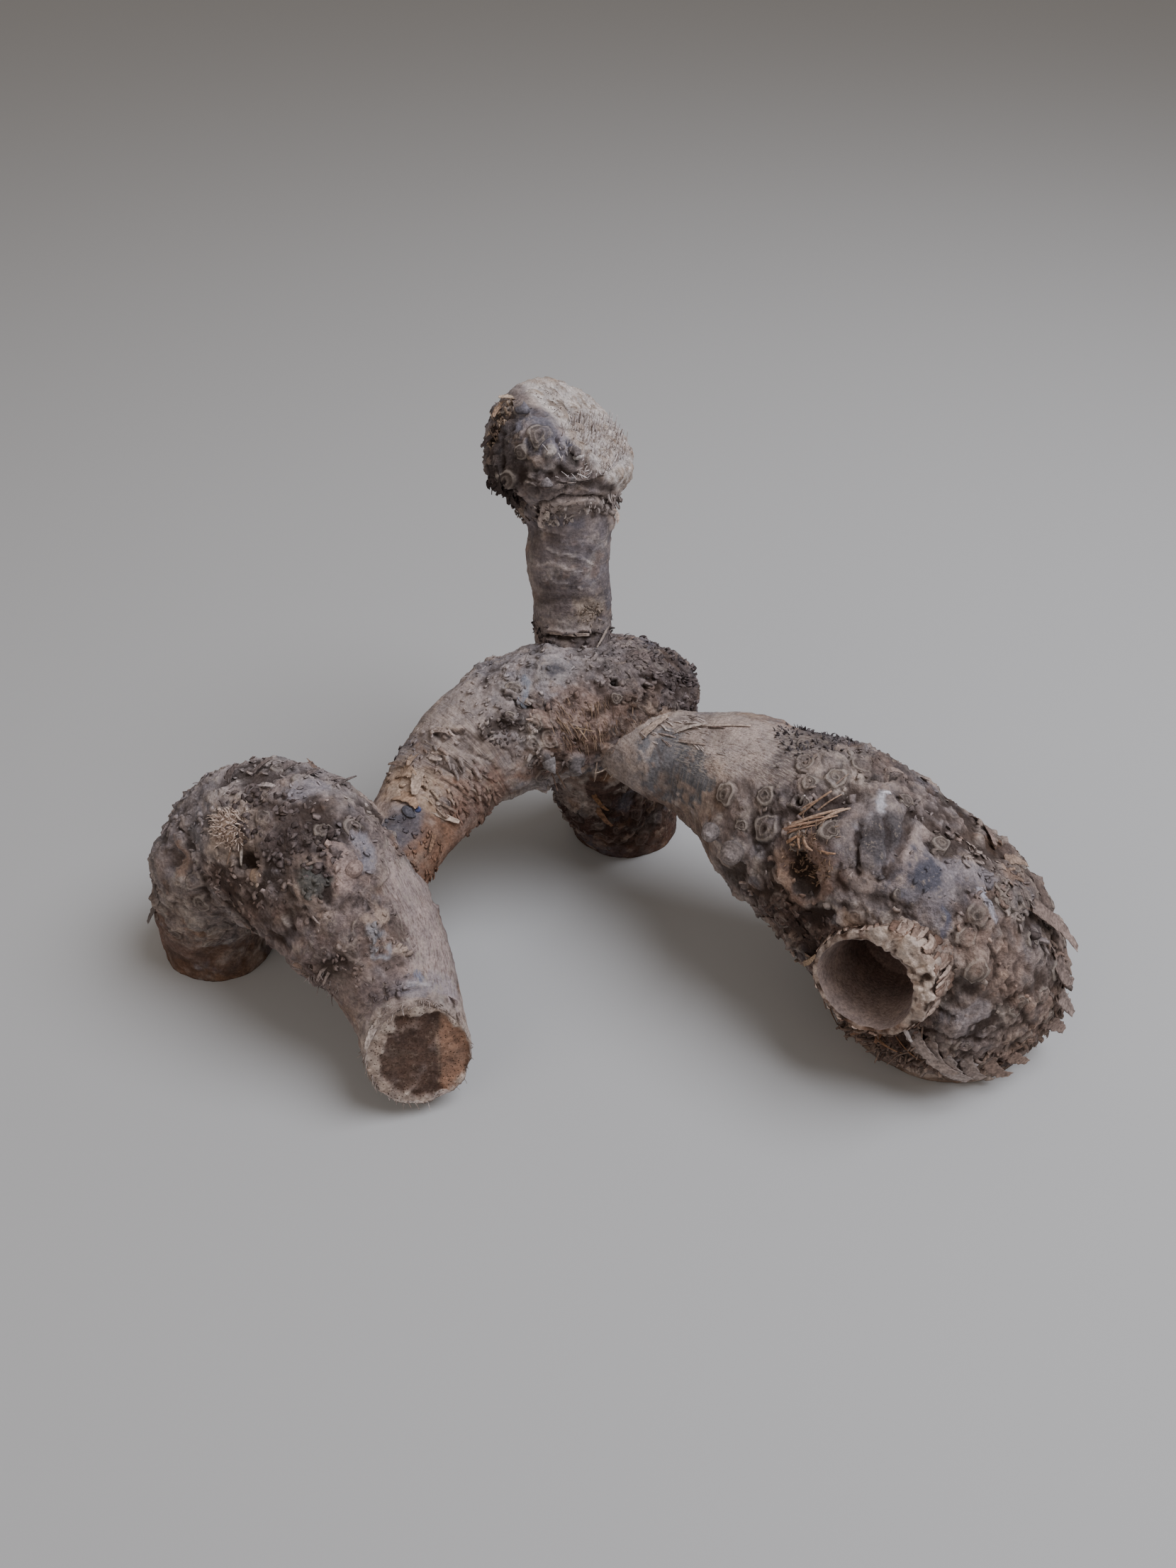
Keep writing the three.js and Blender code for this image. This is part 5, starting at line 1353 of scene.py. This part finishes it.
# %% Straw and twigs
TWIGS = [
    ("right", (88, 142), (99, 118), 1.5, 1.5, 1.5, "#b7977b"),
    ("right", (88, 134), (94, 114), 1.2, 2.5, 1.0, "#b18e6f"),
    ("right", (95, 132), (101, 116), 1.6, 2.0, 1.5, "#bfa287"),
    ("right", (87, 144), (96, 128), 1.2, 1.2, 1.0, "#a37c5e"),
    ("right", (87, 140), (96, 126), 1.1, 1.5, 1.0, "#977154"),
    ("right", (91, 138), (99, 122), 1.0, 1.6, 1.4, "#b49174"),
    ("right", (88, 130), (93, 116), 0.9, 2.6, 1.0, "#aa896d"),
    ("right", (92, 130), (96, 112), 0.8, 2.5, 1.0, "#b39479"),
    ("right", (91, 116), (94, 100), 0.7, 1.5, 1.0, "#a08875"),
    ("right", (88, 144), (94, 136), 1.0, 1.0, 0.8, "#89644b"),
    ("right", (90, 144), (96, 132), 0.9, 1.4, 0.8, "#9b7355"),
    ("right", (95, 140), (100, 142), 1.6, 1.5, 0.8, "#b79578"),
    ("right", (91, 148), (94, 142), 1.6, 1.5, 0.8, "#ad8564"),
    ("right", (93, 140), (97, 144), 1.4, 1.5, 0.8, "#b38e6e"),
    ("right", (100, 142), (105, 138), 1.4, 1.2, 0.8, "#aa8464"),
    ("right", (155, 178), (161, 176), 2.4, 4.0, 0.5, "#cfc5bc"),
    ("right", (162, 194), (168, 182), 0.7, 3.0, 1.5, "#96704e"),
    ("right", (161, 186), (172, 174), 0.6, 3.0, 1.5, "#8a6446"),
    ("right", (160, 196), (164, 186), 0.6, 3.5, 1.5, "#7d5c42"),
    ("right", (162, 208), (205, 222), 0.7, 3.0, 0.8, "#8a6446"),
    ("right", (149, 166), (155, 176), 1.4, 2.0, 1.0, "#b7a390"),
    ("right", (145, 156), (150, 160), 1.0, 2.0, 1.0, "#9a8069"),
    ("right", (86, 126), (87, 122), 1.6, 1.5, 0.4, "#d2c8be"),
    ("left", (111, 70), (108, 40), 1.6, 4.5, 0.4, "#40332c"),
    ("left", (101, 136), (103, 150), 1.4, 1.5, 1.5, "#d2c7b8"),
    ("left", (98, 138), (98, 152), 0.8, 1.0, 1.0, "#8d7460"),
    ("left", (138, 136), (142, 134), 1.0, 1.5, 0.8, "#a3958b"),
    ("middle", (74, 80), (70, 80), 2.4, 3.0, 0.4, "#948a81"),
    ("middle", (128, 86), (124, 102), 1.4, 6.0, 1.0, "#a8957f"),
    ("middle", (124, 100), (118, 110), 1.3, 6.0, 1.0, "#b3a18b"),
    ("middle", (119, 110), (107, 104), 1.1, 6.0, 1.0, "#a8957f"),
    ("middle", (119, 112), (119, 128), 0.9, 6.0, 0.8, "#9a866f"),
    ("middle", (111, 106), (110, 114), 0.8, 6.0, 0.5, "#a38f7a"),
    ("middle", (114, 114), (112, 124), 0.7, 5.0, 0.5, "#8f7c68"),
    ("middle", (89, 112), (91, 118), 0.8, 7.0, 0.5, "#6b5747"),
    ("middle", (86, 112), (86, 120), 0.7, 6.0, 0.5, "#5d4a3c"),
    ("middle", (100, 66), (104, 82), 0.7, 1.5, 1.0, "#b59c7e"),
    ("middle", (105, 66), (102, 80), 0.6, 1.5, 1.0, "#a88d6d"),
    ("middle", (99, 70), (107, 74), 0.6, 1.5, 1.0, "#b09676"),
    ("top", (19, 70), (15, 32), 1.7, 5.0, 0.5, "#9f9183"),
    ("top", (107, 8), (104, 10), 4.6, 2.0, 0.5, "#5a514c"),
    ("top", (104, 10), (103, 14), 2.0, 4.0, 0.4, "#cfc8c0"),
    ("top", (107, 350), (105, 350), 4.6, 1.6, 0.5, "#a1978e"),
]
print("twigs", len(TWIGS))


# %% Scraps, twigs and buds
OWN = 0.65  # share of a blade's colour that is its own, where the rest is that of the skin under it
ROOT_DEPTH = 0.6  # mm by which its root is sunk in the skin


def from_rows(name, table, **shape):
    """Blades from a table of places: each runs from just under one point of the skin to a lifted point near another."""
    roots, tips, normals, tones = [], [], [], []
    for limb_name, start, end, _, lift, _, hue in table:
        (root, tip), (first, last), _, (under, _) = footing(limb_name, [start[0], end[0]], [start[1], end[1]])
        tones.append(OWN * PAINT * linear(hue)[:3] + (1 - OWN) * under)
        roots.append(root - ROOT_DEPTH * first)
        tips.append(tip + lift * last)
        normals.append((first + last) / np.linalg.norm(first + last))
    widths, bows = (np.array([row[k] for row in table], float) for k in (3, 5))
    grids = blades(np.array(roots), np.array(tips), np.array(normals), widths, bows, **shape)
    ragged = 0.75 + 0.5 * draw(np.arange(grids[..., 0].size), 5).reshape(grids.shape[:3])
    add_piece(name, grids, fibre, {"tone": shaded(np.array(tones), grids.shape, 0.75) * ragged[..., None]})


from_rows("sheath_scraps", SCRAPS, flat=0.14, taper=0.55, curl=0.3, ragged=0.35, rows=14, columns=10, seed=3)
from_rows("straw_and_twigs", TWIGS, flat=0.8, taper=0.55, rows=10, columns=7, seed=4)

# Round buds are short blades that stand up and close like a dome.
BUDS = [
    ("right", (63, 174), (64, 174), 7.5, 3.6, 0.0, "#7d746f"),
    ("right", (76, 170), (77, 170), 9.5, 4.6, 0.0, "#766c66"),
    ("top", (92, 350), (93, 350), 5.0, 2.2, 0.0, "#7a7370"), ("top", (92, 6), (93, 6), 4.0, 2.0, 0.0, "#77716e"),
    ("middle", (83, 88), (83, 92), 6.2, 4.6, 0.0, "#8d8783"), ("middle", (99, 98), (99, 102), 7.0, 4.0, 0.0, "#69625f"),
    ("middle", (9, 16), (10, 16), 6.4, 1.4, 0.0, "#45464c"), ("middle", (11, 20), (12, 20), 2.6, 2.2, 0.0, "#42568a"),
    ("top", (115, 308), (116, 308), 5.6, 2.6, 0.0, "#6b686c"), ("left", (132, 98), (133, 98), 8.0, 3.2, 0.0, "#8d7a70"),
]
from_rows("buds", BUDS, flat=1.0, taper=1.0, rows=12, columns=16, seed=6)

# %% Strips of sheath round the stub
# They stand close to the outside of the wall and end a little below or above its rim.
member = np.arange(90)
angle = 2 * np.pi * draw(member, 1)
out = np.cos(angle)[:, None] * STUB["away"] + np.sin(angle)[:, None] * STUB["beside"]
wall = round_rim(OUTER_RIM, angle)[:, None]
low = STUB["height"] - 4 - 12 * draw(member, 2)[:, None]
high = STUB["height"] + 1 - 6 * draw(member, 3)[:, None] ** 2
strips = blades(STUB["base"] + (wall + 1.5) * out + low * STUB["axis"],
                STUB["base"] + (wall + 0.6) * out + high * STUB["axis"], out, 1.5 + 4 * draw(member, 4), 0 * member,
                flat=0.2, taper=0.5, curl=-0.3, ragged=0.35, rows=8, columns=8, seed=7)
tones = mix("#6b5345", "#b8a392", draw(member, 5)) * PAINT
add_piece("stub_strips", strips, fibre, {"tone": shaded(tones, strips.shape, 0.7)})

# %% Tufts and fields of chips
# A row is limb, along, angle, half length, half width, how many, shortest, longest, width, lift, heading, its spread,
# two colours and flatness. Lift is 0 for a fibre that lies on the skin and 1 for one straight out. Heading 0 is along
# the limb and 90 round it. A row without colours takes them from the skin below.
FIELDS = [
    ("right", 100, 150, 9, 9, 110, 1.5, 4.0, 1.3, 0.4, 0, 180, "#a3866c", "#4f3d31", 0.4),
    ("right", 96, 136, 6, 6, 40, 3, 8, 0.7, 0.25, -70, 40, "#a8907c", "#75614f", 0.5),
    ("right", 162, 190, 18, 20, 200, 3, 11, 1.4, 0.3, 60, 60, "#7a6759", "#33261f", 0.35),
    ("right", 22, 98, 16, 12, 90, 4, 14, 0.9, 0.14, 15, 25, "#c4b6aa", "#75645a", 0.3),
    ("right", 52, 102, 22, 14, 150, 3, 11, 0.8, 0.1, 15, 18, "#cbbfb5", "#75665b", 0.3),
    ("right", 72, 72, 14, 20, 200, 1.5, 3.6, 1.8, 0.35, 0, 180, "#5f5857", "#2e2726", 0.4),
    ("right", 150, 92, 30, 10, 140, 2, 6, 2.8, 0.22, 20, 70, None, None, 0.2),
    ("right", 186, 130, 12, 60, 220, 2, 5, 3.0, 0.25, 0, 90, None, None, 0.2),
    ("right", 130, 120, 60, 60, 340, 1.5, 4.5, 2.8, 0.14, 0, 180, None, None, 0.25),
    ("right", 130, 196, 50, 26, 200, 2, 5, 2.4, 0.25, 0, 180, None, None, 0.25),
    ("left", 96, 129, 6.5, 6.5, 300, 2, 5.5, 0.9, 0.45, 0, 180, "#d8c4b2", "#a08b7a", 0.6),
    ("left", 100, 90, 36, 60, 480, 1.5, 4.0, 2.6, 0.18, 0, 180, None, None, 0.25),
    ("left", 110, 112, 22, 12, 120, 2, 4, 3.2, 0.2, 0, 180, "#6d615c", "#403632", 0.3),
    ("left", 158, 118, 30, 16, 120, 1.5, 4, 2.2, 0.2, 0, 180, None, None, 0.25),
    ("left", 202, 190, 3, 50, 160, 2, 5, 0.6, 0.15, 60, 60, "#b3a69b", "#806f63", 0.5),
    ("left", 203, 60, 3, 40, 60, 2, 4, 0.6, 0.15, 60, 60, "#a89a8f", "#75655a", 0.5),
    ("left", 158, 176, 14, 8, 60, 2, 6, 0.6, 0.4, 0, 180, "#9c9088", "#63544b", 0.5),
    ("middle", 104, 62, 13, 12, 170, 4, 12, 0.5, 0.08, 78, 18, "#a38a72", "#6b5648", 0.5),
    ("middle", 124, 76, 12, 12, 70, 3, 9, 0.4, 0.2, 80, 50, "#937b66", "#453429", 0.5),
    ("middle", 148, 30, 14, 40, 300, 1.5, 4.0, 2.2, 0.3, 0, 180, "#756a66", "#332b29", 0.35),
    ("middle", 122, 10, 16, 24, 180, 2, 5, 2.4, 0.2, 20, 60, None, None, 0.25),
    ("middle", 85, 30, 24, 40, 280, 1.5, 4, 2.2, 0.16, 0, 180, None, None, 0.25),
    ("middle", 68, 42, 9, 7, 50, 1.5, 4, 1.8, 0.3, 0, 180, "#6b5f59", "#332a26", 0.35),
    ("middle", 36, 30, 18, 40, 150, 3, 8, 2.4, 0.08, 100, 20, None, None, 0.15),
    ("middle", 4, 60, 4, 34, 90, 2, 5, 2.2, 0.2, 180, 70, None, None, 0.25),
    ("rear", 50, 10, 34, 70, 200, 3, 7, 0.5, 0.2, 0, 180, "#5f473a", "#2a1b14", 0.5),
    # Chips among those shadowed flaps, painted dark: painted shade.
    ("top", 84, 308, 9, 8, 70, 2, 5, 2.8, 0.35, 0, 180, "#4a403c", "#241c1a", 0.3),
    ("top", 108, 290, 9, 6, 80, 2, 4, 2.0, 0.3, 0, 180, "#a8947f", "#5d4c40", 0.3),
    ("top", 72, 0, 5, 40, 220, 2, 5, 2.2, 0.25, 0, 180, "#b5a99f", "#5d514a", 0.3),
    ("top", 28, 30, 5, 6, 60, 1.5, 3, 1.4, 0.35, 0, 180, "#9c8c7c", "#63564a", 0.5),
    ("top", 106, 60, 20, 36, 420, 2, 7, 0.8, 0.12, 20, 80, "#d8cfc8", "#93857b", 0.4),
    ("top", 17, 0, 4, 60, 130, 2, 5, 1.6, 0.25, 0, 180, "#635853", "#2c2523", 0.4),
]
print("fields", len(FIELDS), "with", sum(row[5] for row in FIELDS), "members")

# %% Growing the fields
CHIP = 0.36  # members flatter than this are chips, blunt and four-sided, and the others are three-sided fibres
for number, row in enumerate(FIELDS):
    limb_name, at, degrees, half_length, half_width, count, short, long, width, lift, heading, fan = row[:12]
    pale, dark, flat = row[12:]
    member = np.arange(count)
    size, turn = np.sqrt(draw(member, number)), 2 * np.pi * draw(member, number + 50)
    radius = np.interp(at, SKINS[limb_name]["along"], SKINS[limb_name]["radius"])
    root, normal, along_way, tone = footing(limb_name, at + half_length * size * np.cos(turn),
                                            degrees + np.degrees(half_width * size * np.sin(turn) / radius))
    course = np.radians(heading + fan * (2 * draw(member, number + 99) - 1))[:, None]
    rise = lift * (0.4 + 1.2 * draw(member, number + 7))[:, None]
    round_way = np.cross(along_way, normal)
    way = (1 - rise) * (np.cos(course) * along_way + np.sin(course) * round_way) + rise * normal
    length = (short + (long - short) * draw(member, number + 13) ** 2)[:, None]
    shade = draw(member, number + 21)
    tone = mix(pale, dark, shade) * PAINT if pale else tone * (0.72 + 0.5 * shade)[:, None]
    taper, rows, columns = (0.25, 4, 4) if flat < CHIP else (0.6, 5, 3)
    grids = blades(root - 0.5 * normal, root + way * length, normal, width * (0.5 + draw(member, number + 3)),
                   0.15 * length[:, 0] * (draw(member, number + 5) - 0.3), flat=flat, ragged=0.3, taper=taper,
                   rows=rows, columns=columns, seed=number)
    add_piece(f"chips_and_fibres_{number:02d}_{limb_name}", grids, fibre, {"tone": shaded(tone, grids.shape, 0.8)})
